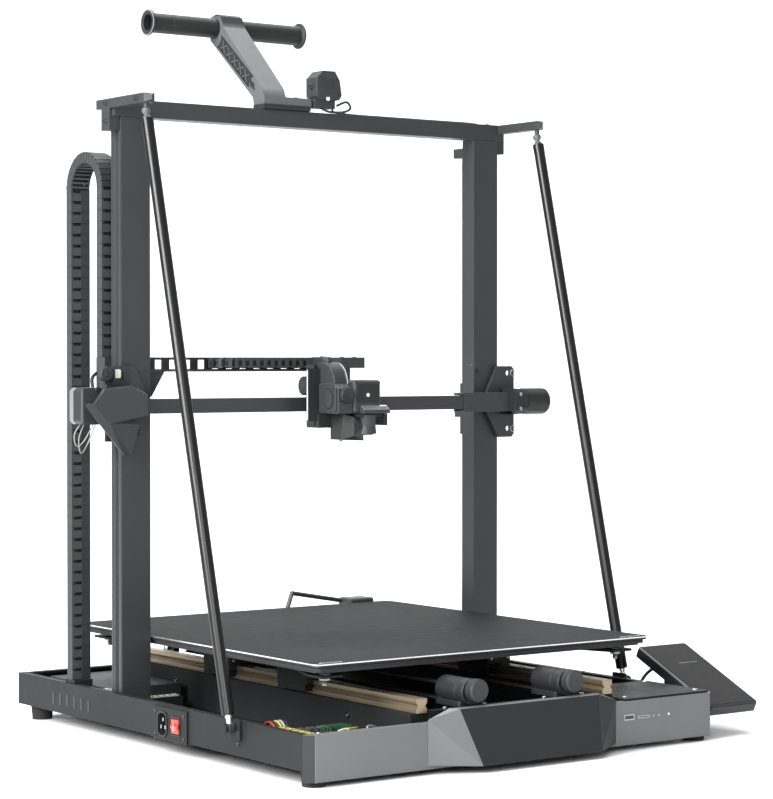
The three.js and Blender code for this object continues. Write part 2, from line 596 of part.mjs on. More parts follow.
// ---------------------------------------------------------------- beam cable chain and tray
const xc = xChain;
add("beam_chain_rear", chainLimb("x", xc.bend + GAP, xc.fixed, [xc.rear - xc.depth, xc.rear, xc.z0, xc.z1], 14, 3),
  "black");
add("beam_chain_front", chainLimb("x", xc.bend + GAP, xc.end, [xc.front, xc.front + xc.depth, xc.z0, xc.z1], 14, 3),
  "black");
const xMid = (xc.front + xc.rear) / 2;
const xOuter = (xc.rear - xc.front) / 2;
add("beam_chain_bend", bar("z", xc.z0, xc.z1, [xc.bend, xMid], xOuter, xOuter, 32)
  .subtract(bar("z", xc.z0 - 1, xc.z1 + 1, [xc.bend, xMid], xOuter - xc.depth, xOuter - xc.depth, 32))
  .subtract(box(xc.bend, xc.bend + 40, xc.front - 1, xc.rear + 1, xc.z0 - 1, xc.z1 + 1)), "black");

// ---------------------------------------------------------------- print head
add("head_carriage", union(
  box(-39, 34, 44, 49.5, 372, 408),
  box(8, 22, 44.2, 70, 402, 443),
  box(8, 22, 69, 104.5, 434, 443),
  box(xc.end + GAP, 44, 104, 117, 429, 443),
  box(6, 42, 42, 70, 430, 443),
  box(8, 22, 70.8, 74.4, gantryZ - 2.5, 437),
  box(8, 22, 63, 72, gantryZ - 2.5, gantryZ + 2.5),
), "charcoal");
add("extruder_body", union(
  hull([
    [-39, 43.7, 376.3], [-18, 43.7, 376.3], [-39, -18, 376.3], [-18, -18, 376.3],
    [-39, 43.7, 412], [-18, 43.7, 412], [-39, -18, 406], [-18, -18, 406], [-39, -7, 412], [-18, -7, 412],
  ]),
  bar("x", -37, -20, [18, 412], 25, 25, 36).intersect(box(-40, -15, -10, 43.7, 400, 440)),
), "black");
add("extruder_dial", union(
  bar("x", -52, -43, [37, 409], 10.5, 11.3, 20),
  bar("x", -43, -39.3, [37, 408], 3.4, 3.4, 12),
), "black");
add("head_front_cover", union(
  softBox(-17.6, 22, -20, 43.7, 376.3, 416, 2.5),
  hull([
    [-8, -26, 376.3], [31, -26, 376.3], [-8, 10, 376.3], [31, 10, 376.3],
    [-8, -26, 381], [31, -26, 381], [-8, -19, 386.5], [31, -19, 386.5], [-8, 8, 386.5], [31, 8, 386.5],
  ]),
), "charcoal");
add("head_shroud", union(
  hull([
    [-24, -6, 376], [-2, -6, 376], [-24, 20, 376], [-2, 24, 376],
    [-24, -2, 360], [-2, -16, 360], [-24, 20, 360], [-2, 22, 360],
    [-24, -1, 345], [2, -12, 344], [-24, 20, 345], [2, 14, 344], [-14, -15, 372], [-14, -15, 350],
  ]),
  box(-42, -10, 18, 43.7, 359, 376),
  bar("z", 352, 376, [7.5, -9], 12.5, 10, 32),
  box(26, 31, -20, 12, 362, 376),
  box(-12, 31, -18, 40, 372, 376),
), "black");
add("nozzle", union(
  bar("z", 343.4, 344.3, [-16, 10.5], 2.4, 3.2, 12),
  bar("z", 342.6, 343.4, [-16, 10.5], 0.6, 2.4, 12),
), "brass");

export default assembly;
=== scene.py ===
"""Looks for the large moving-bed 3-D printer: materials, detailed pieces, floor, light and camera.

Metres, +Z up, the tension knobs face -Y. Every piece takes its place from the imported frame.
"""
import json
from math import cos, pi, radians, sin

import bmesh
import bpy
from mathutils import Matrix, Vector


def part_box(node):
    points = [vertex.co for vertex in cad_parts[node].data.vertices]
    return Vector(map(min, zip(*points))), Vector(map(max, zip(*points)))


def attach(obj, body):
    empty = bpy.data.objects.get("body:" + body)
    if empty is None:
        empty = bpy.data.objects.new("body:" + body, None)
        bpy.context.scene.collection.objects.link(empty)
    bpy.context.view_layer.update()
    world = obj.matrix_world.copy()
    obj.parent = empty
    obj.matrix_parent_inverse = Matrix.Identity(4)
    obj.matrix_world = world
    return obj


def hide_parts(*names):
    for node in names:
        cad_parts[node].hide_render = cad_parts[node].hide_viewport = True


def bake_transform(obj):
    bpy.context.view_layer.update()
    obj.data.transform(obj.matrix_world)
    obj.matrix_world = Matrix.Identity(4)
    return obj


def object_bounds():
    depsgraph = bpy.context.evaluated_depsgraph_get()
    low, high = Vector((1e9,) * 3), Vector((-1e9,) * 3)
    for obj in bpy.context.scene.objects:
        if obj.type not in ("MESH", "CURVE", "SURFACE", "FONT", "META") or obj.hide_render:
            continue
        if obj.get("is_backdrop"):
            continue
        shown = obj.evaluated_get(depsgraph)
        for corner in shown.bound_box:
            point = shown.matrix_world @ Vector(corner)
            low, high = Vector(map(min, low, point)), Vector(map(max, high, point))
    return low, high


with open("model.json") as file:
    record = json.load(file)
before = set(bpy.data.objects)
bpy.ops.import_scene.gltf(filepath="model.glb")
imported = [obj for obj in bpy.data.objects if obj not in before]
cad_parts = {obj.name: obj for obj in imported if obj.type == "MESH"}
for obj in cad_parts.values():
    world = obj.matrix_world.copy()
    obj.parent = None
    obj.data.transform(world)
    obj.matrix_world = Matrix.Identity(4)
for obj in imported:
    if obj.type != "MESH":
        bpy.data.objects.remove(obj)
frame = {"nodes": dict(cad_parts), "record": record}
cad_low, cad_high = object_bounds()
MM = 0.001
NODES = frame["nodes"]
BODY_OF = {name: body for body, names in frame["record"]["behaviour"]["bodies"].items() for name in names}


# ---------------------------------------------------------------- materials
def material(name, colour, rough, metal=0.0, coat=0.0, grain=None, streak=None, mottle=0.08,
             specular=0.5):
    """A node material: mottled colour, uneven roughness, and a grain or streak bump.

    grain = (grains per metre, depth in mm)
    streak = (axis the lines run along, lines per metre, depth in mm)
    """
    m = bpy.data.materials.new(name)
    m.use_nodes = True
    t = m.node_tree
    nodes, links = t.nodes, t.links
    shader = nodes["Principled BSDF"]
    shader.inputs["Metallic"].default_value = metal
    shader.inputs["Coat Weight"].default_value = coat
    shader.inputs["Coat Roughness"].default_value = 0.08
    shader.inputs["Specular IOR Level"].default_value = specular
    place = nodes.new("ShaderNodeTexCoord")

    def noise(scale, detail=3.0, stretch=None):
        tex = nodes.new("ShaderNodeTexNoise")
        tex.inputs["Scale"].default_value = scale
        tex.inputs["Detail"].default_value = detail
        if stretch is None:
            links.new(place.outputs["Object"], tex.inputs["Vector"])
        else:
            mapping = nodes.new("ShaderNodeMapping")
            mapping.inputs["Scale"].default_value = stretch
            links.new(place.outputs["Object"], mapping.inputs["Vector"])
            links.new(mapping.outputs["Vector"], tex.inputs["Vector"])
        return tex

    broad = noise(9.0, 5.0)
    ramp = nodes.new("ShaderNodeValToRGB")
    ramp.color_ramp.elements[0].position = 0.3
    ramp.color_ramp.elements[1].position = 0.7
    ramp.color_ramp.elements[0].color = [c * (1 - mottle) for c in colour] + [1]
    ramp.color_ramp.elements[1].color = [min(1, c * (1 + mottle)) for c in colour] + [1]
    links.new(broad.outputs["Fac"], ramp.inputs["Fac"])
    links.new(ramp.outputs["Color"], shader.inputs["Base Color"])

    fine = noise(grain[0] if grain else 140.0, 4.0)
    if streak:
        axis, lines, _ = streak
        stretch = [lines / 40 if i == "XYZ".index(axis) else lines for i in range(3)]
        fine = noise(1.0, 3.0, stretch)
    spread = nodes.new("ShaderNodeMapRange")
    spread.inputs["To Min"].default_value = max(0.02, rough - 0.07)
    spread.inputs["To Max"].default_value = min(1.0, rough + 0.07)
    blendn = noise(60.0, 4.0)
    links.new(blendn.outputs["Fac"], spread.inputs["Value"])
    links.new(spread.outputs["Result"], shader.inputs["Roughness"])
    if grain or streak:
        bump = nodes.new("ShaderNodeBump")
        bump.inputs["Strength"].default_value = 0.6
        bump.inputs["Distance"].default_value = (grain or streak)[-1] * MM
        links.new(fine.outputs["Fac"], bump.inputs["Height"])
        links.new(bump.outputs["Normal"], shader.inputs["Normal"])
    return m


COAT = material("satin_powder_coat", (0.024, 0.026, 0.027), 0.44, grain=(1500, 0.05), specular=0.42)
WALL = material("wall_powder_coat", (0.0135, 0.0145, 0.015), 0.5, grain=(1500, 0.05), specular=0.14)
PANEL = material("panel_powder_coat", (0.105, 0.110, 0.112), 0.42, grain=(1500, 0.05), specular=0.4)
ARM = material("pale_moulding", (0.072, 0.076, 0.078), 0.5, grain=(1600, 0.05))
BADGE = material("badge_moulding", (0.012, 0.013, 0.0135), 0.5, grain=(1800, 0.05), specular=0.32)
DARK = material("black_plastic", (0.013, 0.014, 0.015), 0.46, grain=(2200, 0.04), specular=0.4)
CHAIN = material("chain_moulding", (0.034, 0.036, 0.037), 0.5, grain=(1800, 0.04))
SOFT_BLACK = material("matte_moulding", (0.019, 0.020, 0.022), 0.55, grain=(1800, 0.06), specular=0.4)
GLOSS = material("gloss_black_tube", (0.004, 0.004, 0.0045), 0.3, specular=0.34, mottle=0.15)
PAN = material("pan_black", (0.006, 0.0065, 0.007), 0.6, grain=(1200, 0.05))
CAST = material("cast_motor_cap", (0.20, 0.205, 0.21), 0.5, metal=0.5, grain=(900, 0.05))
ROCKER_MARK = material("rocker_mark", (0.72, 0.30, 0.27), 0.5, mottle=0.02)
BOLT = material("black_oxide_bolt", (0.045, 0.046, 0.048), 0.36, metal=0.85, mottle=0.1)
RAIL = material("chain_side_band", (0.032, 0.034, 0.035), 0.5, grain=(1800, 0.03), specular=0.3)
STEEL = material("turned_steel", (0.56, 0.57, 0.59), 0.28, metal=1.0, streak=("Z", 900, 0.02), mottle=0.05)
BRIGHT = material("bright_edge", (0.80, 0.81, 0.82), 0.3, metal=0.9, streak=("Y", 900, 0.02), mottle=0.04)
BRONZE = material("tan_anodised", (0.30, 0.245, 0.17), 0.34, metal=0.8, streak=("Y", 1400, 0.02), mottle=0.07)
RUBBER = material("rubber", (0.014, 0.014, 0.014), 0.85, grain=(900, 0.08), specular=0.3)
RED = material("red_rocker", (0.62, 0.022, 0.016), 0.3, coat=0.4, mottle=0.05)
BRASS = material("brass", (0.68, 0.47, 0.19), 0.28, metal=1.0, streak=("Z", 1200, 0.02))
SHEET = material("textured_print_sheet", (0.011, 0.012, 0.0125), 0.66, grain=(1100, 0.12), mottle=0.14,
                 specular=0.1)
BED = material("bed_underside", (0.014, 0.014, 0.015), 0.7, grain=(500, 0.1))
FOAM = material("insulation_foam", (0.055, 0.055, 0.055), 0.9, grain=(700, 0.3), specular=0.2)
GLASS = material("screen_glass", (0.006, 0.006, 0.007), 0.2, coat=0.08, specular=0.25, mottle=0.02)
BEZEL = material("screen_bezel", (0.10, 0.104, 0.106), 0.4, grain=(1800, 0.03))
BOARD = material("board_green", (0.016, 0.085, 0.035), 0.4, coat=0.3, mottle=0.3, grain=(2500, 0.03))
CHIP = material("chip_black", (0.02, 0.02, 0.022), 0.5, grain=(900, 0.03))
NYLON = material("natural_nylon", (0.66, 0.65, 0.58), 0.5, grain=(700, 0.04))
YELLOW = material("yellow_connector", (0.34, 0.27, 0.05), 0.5, grain=(900, 0.03))
ZINC = material("zinc_plate", (0.36, 0.37, 0.38), 0.4, metal=0.9, grain=(400, 0.03), mottle=0.12)
GREY_WIRE = material("grey_wire", (0.25, 0.25, 0.24), 0.5, grain=(900, 0.03))
RED_WIRE = material("red_wire", (0.20, 0.012, 0.01), 0.5, grain=(900, 0.03))
# white, for a small mark and for painted highlights along edges, rims and ledges
WHITE = material("white_mark_and_painted_highlight", (0.85, 0.85, 0.84), 0.5, grain=(900, 0.01), mottle=0.02)
LED = material("indicator_lens", (0.70, 0.72, 0.66), 0.25, coat=0.5, mottle=0.03)


# ---------------------------------------------------------------- mesh building
class Piece:
    """Collects solids in one mesh, each with its own material, and places it on a body."""

    def __init__(self):
        self.bm = bmesh.new()
        self.materials = []

    def index(self, mat):
        if mat not in self.materials:
            self.materials.append(mat)
        return self.materials.index(mat)

    def _close(self, before, mat, bevel=0.0, segments=2, angle=30):
        new = [f for f in self.bm.faces if f not in before]
        if bevel:
            edges = {e for f in new for e in f.edges
                     if len(e.link_faces) == 2 and e.calc_face_angle(0) > radians(angle)}
            made = bmesh.ops.bevel(self.bm, geom=list(edges), offset=bevel, segments=segments, profile=0.5,
                                   affect="EDGES", clamp_overlap=True)
            del made
            new = [f for f in self.bm.faces if f not in before]
        i = self.index(mat)
        for f in new:
            f.material_index = i
        return new

    def _snapshot(self):
        return set(self.bm.faces)

    def hexa(self, corners, mat, bevel=0.0, segments=2):
        """Six-sided solid from eight points: four below, four above, both anticlockwise from above."""
        before = self._snapshot()
        v = [self.bm.verts.new(c) for c in corners]
        for quad in ((3, 2, 1, 0), (4, 5, 6, 7), (0, 1, 5, 4), (1, 2, 6, 5), (2, 3, 7, 6), (3, 0, 4, 7)):
            self.bm.faces.new([v[i] for i in quad])
        self._close(before, mat, bevel, segments)
        return self

    def box(self, low, high, mat, bevel=0.0, segments=2):
        (x0, y0, z0), (x1, y1, z1) = low, high
        base = [(x0, y0), (x1, y0), (x1, y1), (x0, y1)]
        return self.hexa([(*p, z0) for p in base] + [(*p, z1) for p in base], mat, bevel, segments)

    def block(self, centre, size, mat, bevel=0.0, segments=2):
        """A box by its centre (metres) and size (millimetres)."""
        half = Vector(size) * MM / 2
        return self.box(Vector(centre) - half, Vector(centre) + half, mat, bevel * MM, segments)

    def lathe(self, start, along, profile, mat, sides=32, closed=False):
        """Turns [(distance along, radius), ...] in millimetres about a line from start."""
        before = self._snapshot()
        axis = Vector(along).normalized()
        side = axis.orthogonal().normalized()
        up = axis.cross(side)
        rings = []
        for s, r in profile:
            centre = Vector(start) + axis * s * MM
            if r <= 1e-6:
                rings.append([self.bm.verts.new(centre)])
                continue
            rings.append([
                self.bm.verts.new(centre + (side * cos(a) + up * sin(a)) * r * MM)
                for a in (2 * pi * i / sides for i in range(sides))
            ])
        pairs = list(zip(rings, rings[1:]))
        if closed:
            pairs.append((rings[-1], rings[0]))
        for a, b in pairs:
            for i in range(sides):
                j = (i + 1) % sides
                if len(a) == 1 and len(b) == 1:
                    continue
                if len(a) == 1:
                    self.bm.faces.new((a[0], b[j], b[i]))
                elif len(b) == 1:
                    self.bm.faces.new((a[i], a[j], b[0]))
                else:
                    self.bm.faces.new((a[i], a[j], b[j], b[i]))
        if not closed:
            if len(rings[0]) > 1:
                self.bm.faces.new(list(reversed(rings[0])))
            if len(rings[-1]) > 1:
                self.bm.faces.new(rings[-1])
        self._close(before, mat)
        return self

    def rod(self, a, b, r, mat, sides=24, chamfer=0.3):
        """A bar between two points, radius and end chamfer in millimetres."""
        length = (Vector(b) - Vector(a)).length / MM
        c = min(chamfer, length / 3, r / 2)
        return self.lathe(a, Vector(b) - Vector(a), [(0, r - c), (c, r), (length - c, r), (length, r - c)],
                          mat, sides)

    def screw(self, at, along, r, mat=None, head=None):
        """A socket-head screw whose head stands proud of the face at that point."""
        h = head or r * 0.9
        k = r * 0.55
        self.lathe(Vector(at), along, [(-0.4, r), (h * 0.75, r), (h, r * 0.86), (h, k), (h * 0.35, k * 0.92),
                                       (h * 0.3, 0)], mat or STEEL, 20)
        return self

    def prism(self, outline, axis, a, b, mat, bevel=0.0, segments=2):
        """Extrudes an outline in metres along one axis: x reads (y, z), y reads (x, z), z reads (x, y)."""
        before = self._snapshot()

        def lift(p, s):
            return {"x": (s, p[0], p[1]), "y": (p[0], s, p[1]), "z": (p[0], p[1], s)}[axis]

        low = [self.bm.verts.new(lift(p, a)) for p in outline]
        high = [self.bm.verts.new(lift(p, b)) for p in outline]
        n = len(outline)
        self.bm.faces.new(low)
        self.bm.faces.new(high)
        for i in range(n):
            j = (i + 1) % n
            self.bm.faces.new((low[i], low[j], high[j], high[i]))
        bmesh.ops.recalc_face_normals(self.bm, faces=[f for f in self.bm.faces if f not in before])
        self._close(before, mat, bevel, segments)
        return self

    def tube(self, points, r, mat, sides=12):
        """A round tube along a smooth line of points, radius in millimetres."""
        before = self._snapshot()
        points = [Vector(p) for p in points]
        rings = []
        side = None
        for i, p in enumerate(points):
            ahead = points[min(i + 1, len(points) - 1)] - points[max(i - 1, 0)]
            ahead.normalize()
            side = (ahead.orthogonal() if side is None
                    else side - ahead * side.dot(ahead)).normalized()
            up = ahead.cross(side)
            rings.append([self.bm.verts.new(p + (side * cos(a) + up * sin(a)) * r * MM)
                          for a in (2 * pi * k / sides for k in range(sides))])
        for a, b in zip(rings, rings[1:]):
            for i in range(sides):
                j = (i + 1) % sides
                self.bm.faces.new((a[i], a[j], b[j], b[i]))
        self.bm.faces.new(list(reversed(rings[0])))
        self.bm.faces.new(rings[-1])
        self._close(before, mat)
        return self

    def obox(self, centre, axes, size, mat, bevel=0.0, segments=1):
        """A box turned to three axes, with its size in millimetres along each."""
        a, b, c = (Vector(axis) * s * MM / 2 for axis, s in zip(axes, size))
        centre = Vector(centre)
        ring = [(-1, -1), (1, -1), (1, 1), (-1, 1)]
        corners = [centre + a * p + b * q + c * r for r in (-1, 1) for p, q in ring]
        return self.hexa(corners, mat, bevel * MM, segments)

    def node(self, name, mat, bevel=0.6, segments=2, paint=None, angle=32):
        """The CAD node's own shape with its edges eased; paint(centre, normal) may pick a material."""
        source = bmesh.new()
        source.from_mesh(NODES[name].data)
        bmesh.ops.remove_doubles(source, verts=source.verts, dist=2e-6)
        bmesh.ops.dissolve_limit(source, angle_limit=radians(0.6), verts=source.verts, edges=source.edges)
        if bevel:
            edges = [e for e in source.edges
                     if len(e.link_faces) == 2 and e.calc_face_angle(0) > radians(angle)]
            bmesh.ops.bevel(source, geom=edges, offset=bevel * MM, segments=segments, profile=0.5,
                            affect="EDGES", clamp_overlap=True)
        made = bpy.data.meshes.new("part")
        source.to_mesh(made)
        source.free()
        before = self._snapshot()
        self.bm.from_mesh(made)
        bpy.data.meshes.remove(made)
        base = self.index(mat)
        for f in self.bm.faces:
            if f in before:
                continue
            chosen = paint(f.calc_center_median(), f.normal) if paint else None
            f.material_index = base if chosen is None else self.index(chosen)
        return self

    def turned(self, matrix):
        """Moves everything built so far by a matrix."""
        bmesh.ops.transform(self.bm, matrix=matrix, verts=self.bm.verts)
        return self

    def place(self, name, body, replaces=(), angle=34, blend=None):
        mesh = bpy.data.meshes.new(name)
        bmesh.ops.recalc_face_normals(self.bm, faces=self.bm.faces)
        self.bm.to_mesh(mesh)
        self.bm.free()
        for mat in self.materials:
            mesh.materials.append(mat)
        for polygon in mesh.polygons:
            polygon.use_smooth = True
        obj = bpy.data.objects.new(name, mesh)
        bpy.context.scene.collection.objects.link(obj)
        mesh.set_sharp_from_angle(angle=radians(angle))
        if blend is None:
            flat = obj.modifiers.new("flat faces stay flat", "WEIGHTED_NORMAL")
            flat.keep_sharp = True
        if replaces:
            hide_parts(*replaces)
        if blend:
            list(blend[:2])
            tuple(blend[2])
            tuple(blend[3])
            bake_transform(obj)
        else:
            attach(obj, body)
        return obj


def eased(node, mat, bevel=0.6, segments=2, paint=None, angle=34, extra=None):
    """Shows a CAD node with eased edges and its finish; extra(piece) adds detail to the same mesh."""
    piece = Piece().node(node, mat, bevel, segments, paint)
    if extra:
        extra(piece)
    return piece.place(f"{node}_shell", BODY_OF[node], [node], angle)


def curve(points, steps=8):
    """A smooth line through the points (Catmull-Rom)."""
    p = [Vector(q) for q in points]
    p = [p[0] * 2 - p[1], *p, p[-1] * 2 - p[-2]]
    line = []
    for a, b, c, d in zip(p, p[1:], p[2:], p[3:]):
        for i in range(steps):
            t = i / steps
            line.append(0.5 * (2 * b + (c - a) * t + (2 * a - 5 * b + 4 * c - d) * t * t
                               + (3 * b - a - 3 * c + d) * t ** 3))
    return [*line, p[-2]]


def octagon(u0, u1, v0, v1, cut):
    """A rectangle with cut corners, in metres, anticlockwise."""
    return [(u0 + cut, v0), (u1 - cut, v0), (u1, v0 + cut), (u1, v1 - cut), (u1 - cut, v1), (u0 + cut, v1),
            (u0, v1 - cut), (u0, v0 + cut)]


def rounded(u0, u1, v0, v1, r, steps=6):
    """A rectangle with round corners, in metres, anticlockwise."""
    line = []
    for cu, cv, start in ((u1 - r, v1 - r, 0), (u0 + r, v1 - r, 1), (u0 + r, v0 + r, 2), (u1 - r, v0 + r, 3)):
        for i in range(steps + 1):
            a = (start + i / steps) * pi / 2
            line.append((cu + r * cos(a), cv + r * sin(a)))
    return line


# ---------------------------------------------------------------- repeated details
def motor(node, low, high, axis, extra=None):
    """A stepper motor: machined end caps, laminated middle, four screws; axis is the shaft direction."""
    k = "xyz".index(axis)
    u, v = [i for i in range(3) if i != k]
    cut = 4 * MM
    outline = octagon(low[u], high[u], low[v], high[v], cut)
    thin = octagon(low[u] + 0.3 * MM, high[u] - 0.3 * MM, low[v] + 0.3 * MM, high[v] - 0.3 * MM, cut)
    length = high[k] - low[k]
    a, b = low[k] + length * 0.24, high[k] - length * 0.24
    piece = Piece()
    piece.prism(outline, axis, low[k], a, CAST, 0.4 * MM)
    piece.prism(thin, axis, a, b, DARK)
    piece.prism(outline, axis, b, high[k], CAST, 0.4 * MM)
    along = [0, 0, 0]
    along[k] = 1
    for su in (0.13, 0.87):
        for sv in (0.13, 0.87):
            at = [0, 0, 0]
            at[u], at[v] = low[u] + (high[u] - low[u]) * su, low[v] + (high[v] - low[v]) * sv
            at[k] = high[k]
            piece.lathe(at, along, [(-0.2, 2.2), (0.5, 2.2), (0.7, 1.9), (0.7, 1.1), (0.1, 1.0), (0.1, 0)],
                        STEEL, 12)
    if extra:
        extra(piece)
    return piece.place(f"{node}_housing", BODY_OF[node], [node])


def chain(name, body, node, frames, width, depth, pitch, replaces, blend=None, cover=None, banded=False):
    """Drag-chain links.

    frames = (centre, along, across, out); cover = a closed strip over part of the outer face;
    banded = smooth side bands in place of separate side plates.
    """
    piece = Piece()
    for i, (centre, along, across, out) in enumerate(frames):
        axes = (along, across, out)
        for s in (-1, 1):
            edge = centre + across * s * (width / 2 - 1.0) * MM
            if banded:
                piece.obox(edge, axes, (pitch * 1.03, 1.9, depth * 0.95), RAIL, 0.05)
                piece.obox(edge + across * s * 0.55 * MM - along * pitch * 0.5 * MM, axes,
                           (0.7, 1.3, depth * 0.86), DARK)
                continue
            piece.obox(edge - along * pitch * 0.2 * MM, axes, (pitch * 0.62, 1.9, depth * 0.94), CHAIN, 0.5)
            piece.obox(edge + along * pitch * 0.3 * MM - across * s * 1.3 * MM, axes,
                       (pitch * 0.5, 1.6, depth * 0.86), CHAIN, 0.3)
            piece.lathe(edge + along * pitch * 0.1 * MM, across * s,
                        [(0.4, 2.6), (1.25, 2.6), (1.35, 2.2), (1.35, 1.2),
                         (0.9, 0)], SOFT_BLACK, 12)
        for s, share in ((1, 0.72 if banded else 0.46), (-1, 0.40)):
            piece.obox(centre + out * s * (depth / 2 - 1.0) * MM - along * pitch * 0.12 * MM, axes,
                       (pitch * share, width - 3.4, 1.7), CHAIN, 0.4)
        if cover:
            start, end = cover
            piece.obox(centre + across * (start + end) / 2 * width * MM + out * (depth / 2 - 0.7) * MM, axes,
                       (pitch * (1.03 if banded else 0.97), (end - start) * width, 1.3),
                       SOFT_BLACK if banded else CHAIN, 0.1)
        piece.obox(centre, axes, (pitch * 1.02, width * 0.5 if banded else width - 3.6, depth * 0.42), PAN)
    return piece.place(name, body, replaces, blend=blend)


def line_frames(start, end, pitch, across, out):
    """Link frames along a straight line, with the pitch adjusted to fill it exactly."""
    start, end = Vector(start), Vector(end)
    along = (end - start).normalized()
    count = max(1, round((end - start).length / (pitch * MM)))
    step = (end - start) / count
    return [(start + step * (i + 0.5), along, Vector(across),
             Vector(out)) for i in range(count)], step.length / MM


def ends(node, reach=1.5):
    """The mean of the highest and of the lowest points of a node."""
    points = [v.co for v in NODES[node].data.vertices]
    top, bottom = max(p.z for p in points), min(p.z for p in points)
    high = [p for p in points if p.z > top - reach * MM]
    low = [p for p in points if p.z < bottom + reach * MM]
    return sum(high, Vector()) / len(high), sum(low, Vector()) / len(low)


# ---------------------------------------------------------------- base
pan_low, pan_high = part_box("base_pan")
panel_low, panel_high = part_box("front_panel")
floor_z = pan_low.z + 20 * MM


def pan_paint(centre, normal):
    if centre.z < pan_low.z + 16.5 * MM:
        return RUBBER
    inside = panel_low.x + 4 * MM < centre.x < panel_high.x - 4 * MM and centre.y < pan_high.y - 4 * MM
    return PAN if inside and normal.z > 0.5 else None


def pan_detail(piece):
    # vent slots and screws in the rear wall, seen from behind
    y = pan_high.y
    for group in (0.30, 0.70):
        for i in range(9):
            x = panel_low.x + (panel_high.x - panel_low.x) * group + (i - 4) * 9 * MM
            piece.block((x, y, pan_low.z + 36 * MM), (4.2, 0.5, 20), DARK, 0.2)
    for share in (0.03, 0.16, 0.5, 0.84, 0.97):
        x = panel_low.x + (panel_high.x - panel_low.x) * share
        piece.screw((x, y, pan_low.z + 28 * MM), (0, 1, 0), 3.0, STEEL, 1.6)
    for share in (0.12, 0.88):
        x = panel_low.x + (panel_high.x - panel_low.x) * share
        piece.screw((x, y - 5 * MM, panel_high.z), (0, 0, 1), 2.6, STEEL, 1.2)


eased("base_pan", WALL, 0.5, paint=pan_paint, extra=pan_detail)


def wall_detail(side):
    def build(piece):
        face = panel_low.x if side == "left" else panel_high.x
        out = (-1, 0, 0) if side == "left" else (1, 0, 0)
        lip = face + (4.5 if side == "left" else -4.5) * MM
        low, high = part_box(f"{side}_side_wall")
        eye = ends(f"brace_rod_{side}")[1]
        for dz in (-15, 3):
            piece.lathe((face + out[0] * 3.4 * MM, eye.y + (8 if dz > 0 else -7) * MM,
                         eye.z + dz * MM + 4 * MM), out,
                        [(-0.2, 2.4), (0.8, 2.4), (1.1, 2.0), (1.1, 1.1), (0.4, 0)], BOLT, 14)
        for fy in (0.05, 0.36, 0.64, 0.95):
            y = low.y + (high.y - low.y) * fy
            piece.lathe((lip, y, panel_high.z), (0, 0, 1),
                        [(-0.2, 2.5), (0.5, 2.5), (0.8, 2.1), (0.8, 1.2), (0.3, 0)],
                        BOLT, 14)
        for i in range(12):
            if side == "right" or i > 5:
                y = low.y + (high.y - low.y) * (0.56 + i * 0.028)
                piece.block((face + out[0] * 0.05 * MM, y, panel_low.z + 28 * MM), (0.5, 5, 14), DARK, 0.2)
    return build


eased("left_side_wall", WALL, 0.5, extra=wall_detail("left"), angle=24)
eased("right_side_wall", WALL, 0.5, extra=wall_detail("right"), angle=24)


def panel_paint(centre, normal):
    corner = min(abs(centre.x - panel_low.x), abs(centre.x - panel_high.x)) < 9.6 * MM
    return PAN if corner and abs(normal.x) > 0.4 and abs(normal.y) > 0.3 else None


def panel_detail(piece):
    # card slot, connector and indicator at the right of the front
    y, z = panel_low.y, panel_low.z + 30.5 * MM
    x = panel_high.x - 134 * MM
    piece.block((x, y, z + 1 * MM), (15, 1.2, 6.4), ZINC, 0.5)
    piece.block((x, y - 0.4 * MM, z + 1 * MM), (12.4, 0.8, 3.8), CHIP, 0.2)
    piece.block((x + 22 * MM, y, z), (17, 0.9, 3.0), ZINC, 0.3)
    piece.block((x + 22 * MM, y - 0.3 * MM, z), (14.6, 0.6, 1.2), CHIP, 0.1)
    for i, dx in enumerate((37, 45, 60)):
        piece.lathe((x + dx * MM, y, z), (0, -1, 0), [(-0.2, 1.3), (0.4, 1.3), (0.7, 0.8), (0.7, 0)],
                    (ZINC, ZINC, LED)[i], 14)
    for x in (panel_low.x + 26 * MM, panel_high.x - 26 * MM):
        piece.lathe((x, panel_low.y + 14 * MM, panel_high.z), (0, 0, 1),
                    [(-0.2, 3.0), (0.5, 3.0), (0.9, 2.5), (0.9, 1.4), (0.3, 0)], BOLT, 16)


eased("front_panel", PANEL, 0.5, paint=panel_paint, extra=panel_detail, angle=20)


# painted highlight: the badge's up-facing faces and its left-facing facet take the lighter panel colour,
# where the light falls on them
def badge_painted_highlight(centre, normal):
    if normal.z > 0.6:
        return PANEL
    return PANEL if normal.x < -0.12 and normal.y < -0.3 else None


eased("front_badge", BADGE, 0.5, 2, paint=badge_painted_highlight, angle=5)


def subframe_detail(piece):
    for side, sign in (("left", -1), ("right", 1)):
        rail_low, rail_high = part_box(f"bed_rail_{side}")
        mid = (rail_low.x + rail_high.x) / 2
        for y in (rail_low.y + 12 * MM, rail_low.y + 120 * MM, rail_high.y - 120 * MM, rail_high.y - 14 * MM):
            piece.lathe((mid + sign * 12 * MM, y, rail_low.z - 14 * MM), (sign, 0, 0),
                        [(-0.2, 3.4), (1.2, 3.4), (1.6, 3.0), (1.6, 1.8), (0.6, 1.6), (0.6, 0)], BOLT, 18)
    low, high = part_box("bed_subframe")
    for fx in (0.18, 0.36, 0.64, 0.82):
        piece.screw((low.x + (high.x - low.x) * fx, low.y + 4 * MM, rail_low.z + 2 * MM), (0, 0, 1), 2.8,
                    STEEL, 2.0)


eased("bed_subframe", WALL, 0.6, extra=subframe_detail)


